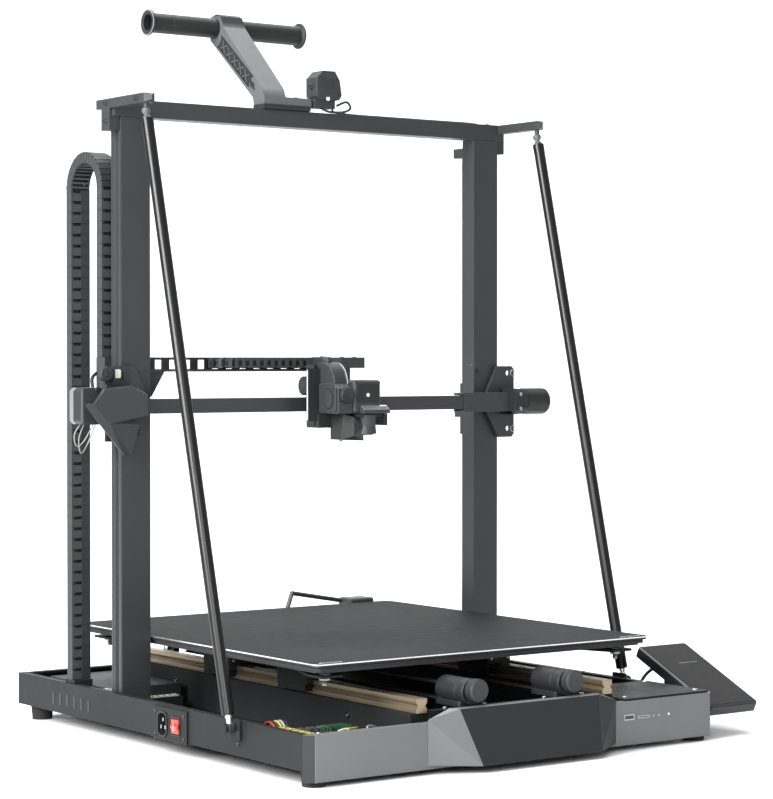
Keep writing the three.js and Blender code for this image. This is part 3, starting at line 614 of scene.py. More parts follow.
def cover_detail(piece):
    low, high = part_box("electronics_cover")
    for x, y in ((low.x + 10 * MM, low.y + 12 * MM), (high.x - 10 * MM, low.y + 12 * MM),
                 (low.x + 10 * MM, high.y - 10 * MM), (high.x - 10 * MM, high.y - 10 * MM)):
        piece.lathe((x, y, high.z), (0, 0, 1),
                    [(-0.2, 3.2), (0.5, 3.2), (1.1, 2.6), (1.1, 1.5), (0.4, 1.4), (0.4, 0)],
                    STEEL, 18)
    for i in range(7):
        piece.block((low.x + (40 + i * 7) * MM, high.y - 22 * MM, high.z), (3, 20, 0.4), DARK, 0.1)


eased("electronics_cover", WALL, 0.5, extra=cover_detail)


# control board: chips, sockets and bundles of wire
def board_detail(piece):
    low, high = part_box("main_board")
    top = low.z + 18.6 * MM
    x0, y0 = low.x, low.y
    for i in range(6):
        piece.block((x0 + 11.5 * MM, y0 + (16 + i * 12) * MM, high.z - 0.5 * MM), (9, 8, 3), YELLOW, 0.5)
        piece.lathe((x0 + 11.5 * MM, y0 + (16 + i * 12) * MM, high.z + 1 * MM), (0, 0, 1),
                    [(-0.2, 1.8), (0.6, 1.8), (0.9, 1.4), (0.9, 0)], STEEL, 10)
    for i in range(4):
        piece.lathe((x0 + (36 + i * 9) * MM, y0 + 64 * MM, top), (0, 0, 1),
                    [(0, 3.4), (8, 3.4), (8.5, 3.0), (8.5, 0)], CHIP, 16)
        piece.block((x0 + (26 + i * 14) * MM, y0 + 88 * MM, top + 3 * MM), (9, 9, 6), ZINC, 0.4)
    piece.block((x0 + 60 * MM, y0 + 40 * MM, top + 1 * MM), (16, 16, 2), CHIP, 0.3)
    for i in range(5):
        piece.block((x0 + (30 + i * 12) * MM, y0 + 6 * MM, top + 3.5 * MM), (9, 6, 7), NYLON, 0.5)
    piece.lathe((x0 + 20 * MM, y0 + 24 * MM, top), (0, 0, 1), [(0, 2), (11, 2), (11.6, 1.4), (11.6, 0)], LED,
                12)


eased("main_board", BOARD, 0.2, extra=board_detail)

wires = Piece()
board_low, board_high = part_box("main_board")
psu_low, psu_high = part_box("power_supply")
inlet_low, inlet_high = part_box("power_inlet")
lane = board_low.x
deck = floor_z + 3 * MM
for i, (mat, bow) in enumerate(((RED_WIRE, 0), (DARK, 4), (YELLOW, 9), (GREY_WIRE, 14), (DARK, 19))):
    wires.tube(curve([
        (board_low.x + (14 + i * 4) * MM, board_high.y - 8 * MM, board_high.z - 4 * MM),
        (board_low.x + (16 + bow) * MM, board_high.y + 14 * MM, board_high.z + 1 * MM),
        (board_low.x + (24 + bow) * MM, board_high.y + 60 * MM, deck + 2 * MM),
        (lane + (34 + bow * 1.1) * MM, board_high.y + 170 * MM, deck),
        (psu_low.x + (40 + bow) * MM, psu_low.y - 40 * MM, deck),
        (psu_low.x + (40 + bow * 1.4) * MM, psu_low.y + 4 * MM, deck + 8 * MM),
    ]), 1.5, mat, 8)
for i, mat in enumerate((GREY_WIRE, RED_WIRE, YELLOW)):
    wires.tube(curve([
        (inlet_high.x + 1 * MM, inlet_low.y + (48 + i * 7) * MM, inlet_low.z + 20 * MM),
        (inlet_high.x + (14 + i * 3) * MM, inlet_low.y + (50 + i * 7) * MM, inlet_low.z + 16 * MM),
        (inlet_high.x + (20 + i * 3) * MM, inlet_low.y + 100 * MM, deck),
        (psu_low.x + (36 + i * 6) * MM, psu_low.y - 10 * MM, deck),
    ]), 1.4, mat, 8)
for i, mat in enumerate((LED, YELLOW, DARK, GREY_WIRE)):
    wires.tube(curve([
        (board_low.x + (34 + i * 12) * MM, board_low.y + 5 * MM, board_high.z + 0.5 * MM),
        (board_low.x + (40 + i * 12) * MM, board_low.y + 14 * MM, board_high.z + (2.5 + i * 0.4) * MM),
        (board_low.x + (64 + i * 9) * MM, board_low.y + 22 * MM, board_high.z + 1 * MM),
        (board_high.x + (6 + i * 2) * MM, board_low.y + (26 + i * 3) * MM, deck + 14 * MM),
        (board_high.x + (10 + i * 2) * MM, board_low.y + (40 + i * 6) * MM, deck + 2 * MM),
    ]), 1.2, mat, 8)
wires.place("base_wiring", "frame")


def psu_detail(piece):
    top = psu_high.z
    for i in range(9):
        for j in range(6):
            piece.lathe((psu_low.x + (22 + j * 11) * MM, psu_low.y + (36 + i * 13) * MM, top), (0, 0, 1),
                        [(-0.2, 2.6), (0.1, 2.6), (0.1, 0)], CHIP, 6)
    for i in range(7):
        x = psu_low.x + (37 + i * 8) * MM
        piece.block((x, psu_low.y + 6 * MM, psu_low.z + 16.5 * MM), (6.4, 9, 2), NYLON, 0.3)
        piece.screw((x, psu_low.y + 6 * MM, psu_low.z + 17 * MM), (0, 0, 1), 2.2, STEEL, 1.4)


eased("power_supply", SOFT_BLACK, 0.8, extra=psu_detail)


# power inlet: rounded plate, appliance socket and the rocker's well
def inlet_shape():
    low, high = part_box("power_inlet")
    piece = Piece().node("power_inlet", WALL, 0.5)
    x = low.x
    for y, z in ((low.y + 6 * MM, low.z + 6 * MM), (high.y - 5 * MM, low.z + 6 * MM),
                 (low.y + 6 * MM, high.z - 6 * MM),
                 (high.y - 5 * MM, high.z - 6 * MM)):
        piece.lathe((x, y, z), (-1, 0, 0), [(-0.2, 2.2), (0.5, 2.2), (0.8, 1.8), (0.8, 1.0), (0.3, 0)], BOLT,
                    14)
    # rim round the socket, its dark well and three pins
    mid_y, mid_z = low.y + 50.5 * MM, low.z + 18.2 * MM
    outer = rounded(mid_y - 10.6 * MM, mid_y + 10.6 * MM, mid_z - 14.4 * MM, mid_z + 14.4 * MM, 8 * MM)
    inner = rounded(mid_y - 8.6 * MM, mid_y + 8.6 * MM, mid_z - 12.2 * MM, mid_z + 12.2 * MM, 6 * MM)
    piece.prism([*outer, outer[0], inner[0], *reversed(inner)], "x", x - 1.2 * MM, x + 0.2 * MM, GLOSS)
    piece.prism(outer, "x", x + 16 * MM, x + 17 * MM, CHIP)
    for dy, dz in ((0, 5), (-4.4, -3.5), (4.4, -3.5)):
        piece.block((x + 8 * MM, mid_y + dy * MM, mid_z + dz * MM), (15, 1.6, 4), STEEL, 0.3)
    rock_low, rock_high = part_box("power_rocker")
    outer = rounded(rock_low.y - 2.6 * MM, rock_high.y + 2.6 * MM, rock_low.z - 2.8 * MM,
                    rock_high.z + 2.8 * MM, 3 * MM)
    inner = rounded(rock_low.y - 0.8 * MM, rock_high.y + 0.8 * MM, rock_low.z - 1 * MM, rock_high.z + 1 * MM,
                    1.5 * MM)
    piece.prism([*outer, outer[0], inner[0], *reversed(inner)], "x", x - 0.9 * MM, x + 0.3 * MM, GLOSS)
    return piece.place("power_inlet_face", "frame", ["power_inlet"])


inlet_shape()


def rocker_detail(piece):
    low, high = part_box("power_rocker")
    y, x = (low.y + high.y) / 2, low.x
    piece.block((x - 0.1 * MM, y, high.z - 6 * MM), (0.5, 1.2, 5), ROCKER_MARK)
    piece.lathe((x + 0.1 * MM, y, low.z + 6 * MM), (-1, 0, 0), [(0, 2.6), (0.3, 2.6), (0.3, 1.8), (0, 1.8)],
                ROCKER_MARK, 20,
                closed=True)


eased("power_rocker", RED, 0.8, extra=rocker_detail)

# ---------------------------------------------------------------- bed rails and drive
def knob(node, axis_vector, radius, length, ribs, mat, base):
    piece = Piece()
    piece.lathe(base, axis_vector,
                [(0, radius * 0.78), (0.8, radius * 0.96), (1.6, radius), (length - 1.8, radius),
                 (length - 0.7, radius * 0.94), (length, radius * 0.84),
                 (length - 0.5, radius * 0.6), (length - 0.5, 0)], mat, 48)
    axis = Vector(axis_vector).normalized()
    side_vector = axis.orthogonal().normalized()
    up = axis.cross(side_vector)
    for i in range(ribs):
        a = 2 * pi * i / ribs
        ray = side_vector * cos(a) + up * sin(a)
        piece.obox(Vector(base) + axis * length * 0.5 * MM + ray * radius * MM,
                   (axis, ray, axis.cross(ray)), (length - 4.2, 0.7, 1.0), mat, 0.15)
    return piece.place(f"{node}_grip", BODY_OF[node], [node])


for side in ("left", "right"):
    def rail_detail(piece, side=side):
        low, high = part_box(f"bed_rail_{side}")
        x = (low.x + high.x) / 2
        count = 10
        for i in range(count):
            y = low.y + (high.y - low.y) * (i + 0.5) / count
            piece.lathe((x, y, high.z), (0, 0, 1),
                        [(-0.4, 3.2), (0.15, 3.2), (0.15, 2.4), (-0.3, 2.2), (-0.3, 0)],
                        CHIP, 18)
    eased(f"bed_rail_{side}", BRONZE, 0.5, extra=rail_detail)

    def tensioner(side=side):
        piece = Piece()
        low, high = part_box(f"bed_tensioner_{side}")
        knob_low, knob_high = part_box(f"bed_tension_knob_{side}")
        centre = (knob_low + knob_high) / 2
        piece.lathe((centre.x, low.y + 1 * MM, centre.z), (0, -1, 0), [(0, 9), (0.6, 9), (1.1, 8), (1.1, 0)],
                    SOFT_BLACK, 24)
        # round housing behind the knob, on a low foot, with two screws and the belt's idler
        length = (high.y - low.y) / MM
        middle = Vector((centre.x, low.y, (low.z + high.z) / 2 + 0.6 * MM))
        piece.lathe(middle, (0, 1, 0),
                    [(0.4, 9.6), (0, 10.2), (0, 13.6), (0.9, 14.4), (12, 14.4), (12.6, 13.8), (14, 13.8),
                     (14.6, 14.4), (length - 1.2, 14.4), (length - 0.2, 13.4),
                     (length - 0.2, 10.6)],
                    DARK, 48, closed=True)
        piece.prism(rounded(low.x + 0.4 * MM, high.x - 0.4 * MM, low.y + 4 * MM, high.y - 1 * MM, 3 * MM),
                    "z",
                    low.z, low.z + 6.5 * MM, DARK, 0.8 * MM)
        for s in (-1, 1):
            piece.screw((centre.x + s * 11.4 * MM, high.y - 7 * MM, low.z + 6.2 * MM), (0, 0, 1), 2.2, BOLT,
                        1.6)
        piece.rod((centre.x - 6 * MM, low.y + 26.4 * MM, centre.z),
                  (centre.x + 6 * MM, low.y + 26.4 * MM, centre.z), 7.6,
                  STEEL, 28)
        return piece.place(f"bed_tensioner_{side}_housing", BODY_OF[f"bed_tensioner_{side}"],
                           [f"bed_tensioner_{side}"])
    tensioner()

    node = f"bed_tension_knob_{side}"
    low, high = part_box(node)
    knob(node, (0, -1, 0), 12.4, (high.y - low.y) / MM, 32, SOFT_BLACK,
         ((low.x + high.x) / 2, high.y, (low.z + high.z) / 2))

    def belt_detail(piece, side=side):
        low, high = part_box(f"bed_belt_{side}")
        for i in range(130):
            y = low.y + 11 * MM + i * 4.35 * MM
            piece.block(((low.x + high.x) / 2, y, high.z - 1.7 * MM), (9.4, 1.8, 0.7), RUBBER)
    eased(f"bed_belt_{side}", RUBBER, 0.0, extra=belt_detail)

eased("bed_drive_shaft", STEEL, 0.3)
low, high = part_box("bed_motor")
motor("bed_motor", (low.x, low.y, high.z - 42 * MM), high, "x", lambda p: p.box(
    (low.x + 4 * MM, low.y + 12 * MM, low.z), (high.x - 4 * MM, high.y - 12 * MM, low.z + 16 * MM), WALL,
    0.6 * MM))


# ---------------------------------------------------------------- bed
def carriage_detail(piece):
    low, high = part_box("bed_carriage")
    bed_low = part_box("heated_bed")[0]
    cx, cy = (low.x + high.x) / 2, (low.y + high.y) / 2
    for sx in (-1, 1):
        for sy in (-1, 1):
            x, y = cx + sx * (high.x - low.x - 28 * MM) / 2, cy + sy * (high.y - low.y - 28 * MM) / 2
            top = bed_low.z
            piece.lathe((x, y, top), (0, 0, -1),
                        [(0.1, 7.2), (1.4, 7.2), (1.6, 5.0), (3.4, 5.0), (3.6, 6.6), (4.8, 6.6)],
                        STEEL, 24)
            piece.lathe((x, y, top - 7.3 * MM), (0, 0, -1),
                        [(0, 6.4), (3.2, 6.4), (3.6, 5.8), (3.6, 3.0), (9, 3.0),
                         (9.4, 2.5), (9.4, 0)], ZINC, 6)
            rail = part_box("bed_rail_left" if sx < 0 else "bed_rail_right")
            mid = (rail[0].x + rail[1].x) / 2
            shoe_y = cy + sy * 80 * MM
            for end in (-1, 1):
                piece.block((mid, shoe_y + end * 28.6 * MM, rail[1].z + 4 * MM), (33, 2.4, 18), SOFT_BLACK,
                            0.6)
                piece.screw((mid + 12 * MM, shoe_y + end * 29.8 * MM, rail[1].z + 6 * MM), (0, end, 0), 1.8,
                            STEEL, 1.2)
                piece.screw((mid - 12 * MM, shoe_y + end * 29.8 * MM, rail[1].z + 6 * MM), (0, end, 0), 1.8,
                            STEEL, 1.2)
    for fy in (-1, 1):
        for fx in (-0.6, 0.6):
            piece.lathe((cx + fx * 150 * MM, cy + fy * 86 * MM, low.z + 34 * MM + 3 * MM), (0, 0, 1),
                        [(-3.5, 3), (0.6, 3), (1.0, 2.6), (1.0, 0)], STEEL, 12)


eased("bed_carriage", WALL, 0.6, extra=carriage_detail)


def bed_shape():
    low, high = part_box("heated_bed")
    piece = Piece()
    piece.prism(octagon(low.x + 3 * MM, high.x - 3 * MM, low.y + 3 * MM, high.y - 3 * MM, 6 * MM), "z", low.z,
                low.z + 2.2 * MM, FOAM, 0.3 * MM)
    piece.prism(octagon(low.x, high.x, low.y, high.y, 4 * MM), "z", low.z + 2.2 * MM, high.z, BED, 0.5 * MM)
    for fx in (0.03, 0.5, 0.97):
        for fy in (0.03, 0.97):
            piece.lathe((low.x + (high.x - low.x) * fx, low.y + (high.y - low.y) * fy, low.z), (0, 0, -1),
                        [(-0.2, 3.6), (0.4, 3.6), (0.8, 2.8), (0.8, 0)], STEEL, 14)
    # magnets under the sheet
    for i in range(6):
        for j in range(6):
            piece.lathe((low.x + (high.x - low.x) * (i + 0.5) / 6, low.y + (high.y - low.y) * (j + 0.5) / 6,
                         high.z),
                        (0, 0, 1), [(-0.3, 6), (0.12, 6), (0.12, 0)], ZINC, 14)
    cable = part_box("bed_cable_guard")
    for i in range(3):
        piece.tube(curve([
            (cable[1].x - (14 + i * 4) * MM, high.y - 12 * MM, low.z - 1 * MM),
            (cable[1].x - (15 + i * 5) * MM, high.y - 70 * MM, low.z - 2.2 * MM),
            ((low.x + high.x) / 2 + 60 * MM, (low.y + high.y) / 2 + 120 * MM, low.z - 2.2 * MM),
        ]), 1.8, DARK, 8)
    return piece.place("heated_bed_layers", "bed", ["heated_bed"])


bed_shape()


def plate_shape():
    low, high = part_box("build_plate")
    piece = Piece()
    edge = rounded(low.x, high.x, low.y, high.y, 8 * MM, 8)
    inner = rounded(low.x + 0.7 * MM, high.x - 0.7 * MM, low.y + 0.7 * MM, high.y - 0.7 * MM, 7.3 * MM, 8)
    body_line = rounded(low.x + 1.4 * MM, high.x - 1.4 * MM, low.y + 1.4 * MM, high.y - 1.4 * MM, 6.6 * MM, 8)
    piece.prism(edge, "z", high.z - 1.5 * MM, high.z - 0.25 * MM, BRIGHT)
    piece.prism(inner, "z", high.z - 0.25 * MM, high.z, SHEET)
    piece.prism(body_line, "z", low.z, high.z - 1.5 * MM, BED, 0.3 * MM)
    # painted highlight: bright elliptical rings on the sheet at the two front corners, where the corner lips
    # catch the light
    for fx, dx in ((0, 24), (1, -24)):
        x = low.x + (high.x - low.x) * fx + dx * MM
        mark = [(x + 15 * MM * cos(a),
                 low.y + 9 * MM + 3.4 * MM * sin(a)) for a in (2 * pi * i / 32 for i in range(32))]
        hollow = [(x + 13 * MM * cos(a),
                   low.y + 9 * MM + 2.1 * MM * sin(a)) for a in (2 * pi * i / 32 for i in range(32))]
        piece.prism(mark, "z", high.z - 0.1 * MM, high.z + 0.1 * MM, BRIGHT)
        piece.prism(hollow, "z", high.z, high.z + 0.16 * MM, SHEET)
    return piece.place("build_plate_sheet", "bed", ["build_plate"])


plate_shape()
eased("bed_cable_guard", COAT, 0.4)


# ---------------------------------------------------------------- uprights and top beam
def upright_detail(side, sign):
    def build(piece):
        low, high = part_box(f"upright_{side}")
        outer = low.x if sign < 0 else high.x
        front = low.y
        for z in (pan_low.z + 30 * MM, pan_low.z + 46 * MM):
            for dx in (10, 28):
                piece.lathe((outer - sign * dx * MM, front, z), (0, -1, 0),
                            [(-0.2, 3.2), (0.8, 3.2), (1.2, 2.7), (1.2, 1.5), (0.5, 0)], BOLT, 16)
        # two raised lands either side of the guide groove on the outer face
        for dy, wide in ((3.2, 3.4), (21.2, 3.0)):
            piece.box((outer - 0.35 * MM, front + (dy - wide / 2) * MM, pan_low.z + 24 * MM),
                      (outer + 0.35 * MM, front + (dy + wide / 2) * MM, high.z - 20 * MM), COAT)
    return build


eased("upright_left", COAT, 0.9, 3, extra=upright_detail("left", -1))
eased("upright_right", COAT, 0.9, 3, extra=upright_detail("right", 1))


def beam_detail(piece):
    low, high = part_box("top_beam")
    post_y = (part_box("upright_left")[0].y + 12 * MM)
    for sign, x in ((-1, low.x), (1, high.x)):
        for y in (post_y, post_y - 70 * MM):
            piece.lathe((x, y, high.z - 5.5 * MM), (sign, 0, 0),
                        [(-0.3, 3.0), (1.0, 3.0), (1.5, 2.5), (1.5, 1.4), (0.6, 0)],
                        BOLT, 16)
        piece.lathe((x, post_y, high.z - 26 * MM), (sign, 0, 0),
                    [(-0.3, 2.8), (1.0, 2.8), (1.4, 2.3), (1.4, 1.3), (0.5, 0)],
                    BOLT, 16)
        for dx in (14, 34):
            piece.screw((x - sign * (dx + 8) * MM, post_y, high.z - 0.3 * MM), (0, 0, 1), 3.2, BOLT, 2.2)


eased("top_beam", COAT, 1.0, 3, extra=beam_detail)


# ---------------------------------------------------------------- brace rods
def brace(side, sign):
    top, eye = ends(f"brace_rod_{side}")
    low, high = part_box(f"brace_rod_{side}")
    top = Vector((top.x, top.y, high.z - 3 * MM))
    foot = Vector((eye.x, eye.y, low.z + 6 * MM))
    line = foot - top
    length = line.length / MM
    piece = Piece()
    piece.lathe(top, line,
                [(-4, 0), (-3.6, 2.6), (-2.4, 4.4), (0, 5.2), (2.4, 4.6), (4, 3.2), (5.5, 3.0), (7, 4.2),
                 (9.4, 5.6), (11, 5.8), (11, 4)], ARM, 28)
    tube_end = length - 14
    piece.lathe(top, line, [(9.2, 5.6), (10, 7.0), (20, 7.0), (20.4, 6.8), (tube_end - 26, 6.8),
                            (tube_end - 25.4, 7.0), (tube_end - 1, 7.0), (tube_end, 6.2), (tube_end, 3)],
                GLOSS, 36)
    piece.lathe(top, line,
                [(tube_end - 0.5, 3.6), (tube_end + 3, 3.6), (tube_end + 3.4, 2.8), (length - 4, 2.8),
                 (length - 3, 0)], BRIGHT, 16)
    piece.lathe(foot - Vector((4 * MM, 0, 0)), (1, 0, 0),
                [(0, 2.6), (0, 4.6), (0.8, 5.2), (7.2, 5.2), (8, 4.6), (8, 2.6)],
                SOFT_BLACK, 24, closed=True)
    piece.lathe(foot - Vector((4.6 * MM, 0, 0)), (1, 0, 0), [(0, 0), (0, 2.4), (9.2, 2.4), (9.2, 0)], STEEL,
                16)
    return piece.place(f"brace_rod_{side}_assembly", "frame", [f"brace_rod_{side}"])


brace("left", -1)
brace("right", 1)


# ---------------------------------------------------------------- spool holder and filament sensor
arm_low, arm_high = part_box("spool_arm")
tube_low, tube_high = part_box("spool_tube")
tube_y, tube_z = (tube_low.y + tube_high.y) / 2, (tube_low.z + tube_high.z) / 2


def arm_paint(centre, normal):
    near_tube = (Vector((centre.y, centre.z)) - Vector((tube_y, tube_z))).length < 20 * MM
    if near_tube and (normal.x < -0.5 or normal.z > -0.2 and centre.z > tube_z - 2 * MM):
        return DARK
    if centre.z < arm_low.z + 6.5 * MM:
        return DARK
    return None


def arm_detail(piece):
    # crossed ribs on the dark side face
    start = Vector((arm_low.x, arm_low.y + 34 * MM, arm_low.z + 38 * MM))
    end = Vector((arm_low.x, tube_y - 16 * MM, tube_z - 20 * MM))
    along = (end - start).normalized()
    across = Vector((0, -along.z, along.y))
    half = (end - start).length / 2 / MM + 4
    piece.obox((start + end) / 2, (along, across, Vector((1, 0, 0))), (half * 2, 15, 0.9), DARK, 0.2)
    steps = 5
    for i in range(steps):
        centre = start.lerp(end, (i + 0.5) / steps)
        for s in (-1, 1):
            direction = (along + across * s * 0.9).normalized()
            piece.obox(centre, (direction, direction.cross(Vector((1, 0, 0))), Vector((1, 0, 0))),
                       (17, 1.2, 2.2), ARM, 0.2)
    for s in (-1, 1):
        piece.obox((start + end) / 2 + across * s * 7.2 * MM, (along, across, Vector((1, 0, 0))),
                   ((end - start).length / MM + 10, 1.4, 2.4), DARK, 0.3)
    for dx in (10, 52):
        piece.screw((arm_low.x + dx * MM, arm_low.y + 11 * MM, arm_low.z + 15.2 * MM), (0, 0, 1), 3.2, BOLT,
                    2.0)
    piece.box((arm_low.x - 1 * MM, arm_low.y - 1 * MM, arm_low.z),
              (arm_high.x - 6.5 * MM, arm_low.y + 23 * MM,
               arm_low.z + 6 * MM), DARK, 0.8 * MM)


eased("spool_arm", ARM, 1.2, 3, paint=arm_paint, extra=arm_detail)


def tube_shape():
    piece = Piece()
    length = (tube_high.x - tube_low.x) / MM
    start = Vector((tube_low.x, tube_y, tube_z))
    piece.lathe(start, (1, 0, 0), [
        (0.6, 10.2), (0, 11), (0, 15.4), (0.6, 16), (2.4, 16), (3.2, 15.2), (3.8, 12.6), (4.4, 12), (30, 12),
        (30.4, 11.7), (31.4, 11.7), (31.8, 12), (length - 4.4, 12), (length - 3.8, 12.6),
        (length - 3.2, 15.2),
        (length - 2.4, 16), (length - 0.6, 16), (length, 15.4), (length, 11), (length - 0.6, 10.2)], PAN, 56,
                closed=True)
    piece.lathe(start + Vector((-0.1 * MM, 0, 0)), (1, 0, 0),
                [(0, 14.2), (0, 15.7), (0.5, 15.9), (0.5, 14.2)], ZINC, 56,
                closed=True)
    return piece.place("spool_tube_turned", "spool_tube", ["spool_tube"])


tube_shape()


def sensor_detail(piece):
    low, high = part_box("filament_sensor")
    mid_y = (low.y + high.y) / 2
    piece.lathe((low.x + 1 * MM, mid_y, low.z + 26 * MM), (-1, 0, 0),
                [(-1, 4), (2, 4), (2.6, 3.4), (4, 3.4), (4, 1.2),
                 (2, 1.2)], SOFT_BLACK, 18)
    piece.block((low.x + 16 * MM, low.y - 0.2 * MM, low.z + 11 * MM), (4, 0.8, 4), WHITE, 0.3)
    for x, z in ((low.x + 6 * MM, low.z + 38 * MM), (high.x - 8 * MM, low.z + 36 * MM),
                 (high.x - 7 * MM, low.z + 18 * MM)):
        piece.lathe((x, low.y, z), (0, -1, 0), [(-0.3, 1.9), (0.4, 1.9), (0.8, 1.5), (0.8, 0.8), (0.3, 0)],
                    BOLT, 14)
    piece.block((low.x + 16 * MM, low.y - 0.1 * MM, low.z + 30 * MM), (20, 0.5, 12), SOFT_BLACK, 0.4)


eased("filament_sensor", COAT, 1.6, 3, extra=sensor_detail, angle=24)
low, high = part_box("filament_sensor")
beam_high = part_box("top_beam")[1]
loop = Piece()
loop.tube(curve([
    (high.x - 4 * MM, low.y + 6 * MM, low.z + 4 * MM), (high.x + 9 * MM, low.y + 4 * MM, low.z + 9 * MM),
    (high.x + 15 * MM, low.y + 4 * MM, low.z + 2 * MM),
    (high.x + 4 * MM, low.y + 3 * MM, beam_high.z + 2.2 * MM),
    (high.x - 16 * MM, low.y + 5 * MM, beam_high.z + 1.6 * MM),
    (high.x - 24 * MM, low.y + 12 * MM, low.z + 1 * MM),
]), 1.5, SOFT_BLACK, 10)
loop.tube(curve([
    (high.x - 6 * MM, low.y + 14 * MM, low.z + 3 * MM),
    (high.x + 12 * MM, low.y + 20 * MM, beam_high.z + 2 * MM),
    (high.x + 120 * MM, low.y + 22 * MM, beam_high.z + 1.5 * MM),
    (beam_high.x - 60 * MM, low.y + 22 * MM, beam_high.z + 1.5 * MM),
    (beam_high.x - 40 * MM, low.y + 24 * MM, beam_high.z + 1.5 * MM),
]), 1.4, DARK, 8)
loop.place("sensor_lead", "frame")


# ---------------------------------------------------------------- touch screen
def screen_shape():
    source = NODES["touch_screen"].data
    best = max(source.polygons, key=lambda p: p.normal.z * p.area)
    up = best.normal.copy()
    across = Vector((1, 0, 0))
    back = up.cross(across).normalized()
    points = [v.co for v in source.vertices]
    centre = sum(points, Vector()) / len(points)
    half = [max(abs((p - centre).dot(a)) for p in points) for a in (across, back, up)]
    w, l, t = (h * 2 / MM for h in half)
    piece = Piece()

    def local(u0, u1, v0, v1):
        return rounded(u0 * MM, u1 * MM, v0 * MM, v1 * MM, 4 * MM, 6)

    piece.prism(local(-w / 2, w / 2, -l / 2, l / 2), "z", (-t / 2) * MM, (t / 2 - 1.8) * MM, DARK, 0.9 * MM)
    piece.prism(local(-w / 2 + 0.4, w / 2 - 0.4, -l / 2 + 0.4, l / 2 - 0.4), "z", (t / 2 - 1.8) * MM,
                (t / 2 - 0.5) * MM,
                BADGE, 0.5 * MM)
    piece.prism(rounded((-w / 2 + 4) * MM, (w / 2 - 2) * MM, (-l / 2 + 3) * MM, (l / 2 - 3) * MM, 3 * MM),
                "z",
                (t / 2 - 0.6) * MM, (t / 2) * MM, GLASS, 0.2 * MM)
    piece.block(((-w / 2 + 1.6) * MM, 0, (t / 2 - 0.9) * MM), (3.2, l - 6, 1.2), BEZEL, 0.4)
    # painted reflection: a pale streak across the glass
    piece.block((6 * MM, (l / 2 - 44) * MM, (t / 2 + 0.02) * MM), (30, 1.3, 0.06), BEZEL)
    for i in range(4):
        piece.screw(((-w / 2 + 8 if i % 2 else w / 2 - 8) * MM, (-l / 2 + 9 if i < 2 else l / 2 - 9) * MM,
                     -t / 2 * MM),
                    (0, 0, -1), 2.0, STEEL, 1.0)
    for i in range(8):
        piece.block(((-14 + i * 4) * MM, -20 * MM, (-t / 2) * MM), (2, 18, 0.5), CHIP, 0.1)
    matrix = Matrix((across, back, up)).transposed().to_4x4()
    matrix.translation = centre
    return piece.turned(matrix).place("touch_screen_housing", "frame", ["touch_screen"])


screen_shape()
low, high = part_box("touch_screen")
lead = Piece()
lead.tube(curve([
    (low.x + 20 * MM, high.y - 22 * MM, high.z - 20 * MM),
    (low.x + 8 * MM, high.y - 10 * MM, high.z - 34 * MM),
    (low.x - 4 * MM, high.y - 8 * MM, pan_low.z + 42 * MM),
    (low.x - 12 * MM, high.y - 10 * MM, pan_low.z + 34 * MM),
]), 2.0, DARK, 10)
lead.place("screen_lead", "frame")

# ---------------------------------------------------------------- lifting drive
for side in ("left", "right"):
    low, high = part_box(f"lift_motor_{side}")
    motor(f"lift_motor_{side}", low, (high.x, high.y, high.z - 5.5 * MM), "z",
          lambda p, low=low,
          high=high: p.lathe(((low.x + high.x) / 2, (low.y + high.y) / 2, high.z - 6 * MM), (0, 0, 1),
                             [(0, 11), (1.6, 11), (2, 10.5), (2, 6), (5.5, 6)], ZINC, 28))
    low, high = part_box(f"lead_screw_{side}")
    x, y = (low.x + high.x) / 2, (low.y + high.y) / 2
    length = (high.z - low.z) / MM
    thread = [(25.6, 3.3)]
    while thread[-1][0] < length - 4:
        s = thread[-1][0]
        thread += [(s + 0.4, 3.95), (s + 1.6, 3.95), (s + 2.0, 3.3), (s + 2.7, 3.3)]
    screw = Piece().lathe((x, y, low.z), (0, 0, 1), [*thread, (length - 0.6, 3.3), (length, 2.8)], STEEL, 14)
    coupler = [(0, 8.4), (0.6, 9)]
    for i in range(5):
        coupler += [(5 + i * 3.2, 9), (5 + i * 3.2, 7.6), (6 + i * 3.2, 7.6), (6 + i * 3.2, 9)]
    screw.lathe((x, y, low.z), (0, 0, 1), [*coupler, (25, 9), (25.6, 8.4)], ZINC, 28)
    for dz in (3, 22.8):
        screw.lathe((x, y - 8.8 * MM, low.z + dz * MM), (0, -1, 0), [(0, 1.4), (0.4, 1.4), (0.4, 0)], CHIP,
                    10)
    screw.place(f"lead_screw_{side}_thread", f"lead_screw_{side}", [f"lead_screw_{side}"])

# ---------------------------------------------------------------- lift cable chain
rear_low, rear_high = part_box("lift_chain_rear")
front_low, front_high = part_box("lift_chain_front")
bend_low, bend_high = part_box("lift_chain_bend")
chain_x = (rear_low.x + rear_high.x) / 2
chain_w, chain_d = (rear_high.x - rear_low.x) / MM, (rear_high.y - rear_low.y) / MM
ACROSS = Vector((1, 0, 0))
rear_y, front_y = (rear_low.y + rear_high.y) / 2, (front_low.y + front_high.y) / 2
frames, pitch = line_frames((chain_x, rear_y, rear_low.z), (chain_x, rear_y, bend_low.z), 13, ACROSS,
                            (0, -1, 0))
chain("lift_chain_rear_links", "frame", "lift_chain_rear", frames, chain_w, chain_d, pitch,
      ["lift_chain_rear"],
      ("frame", "lift_chain_loop", (chain_x, rear_y, rear_low.z), (chain_x, rear_y, bend_low.z)),
      (0.02, 0.5), True)
frames, pitch = line_frames((chain_x, front_y, front_low.z), (chain_x, front_y, bend_low.z), 13, ACROSS,
                            (0, -1, 0))
span = bend_low.z - front_low.z
chain("lift_chain_front_links", "gantry", "lift_chain_front", frames, chain_w, chain_d, pitch,
      ["lift_chain_front"],
      ("frame", "gantry", (chain_x, front_y, bend_low.z + span), (chain_x, front_y, front_low.z)),
      (0.22, 0.5), True)
turn = (rear_y - front_y) / 2
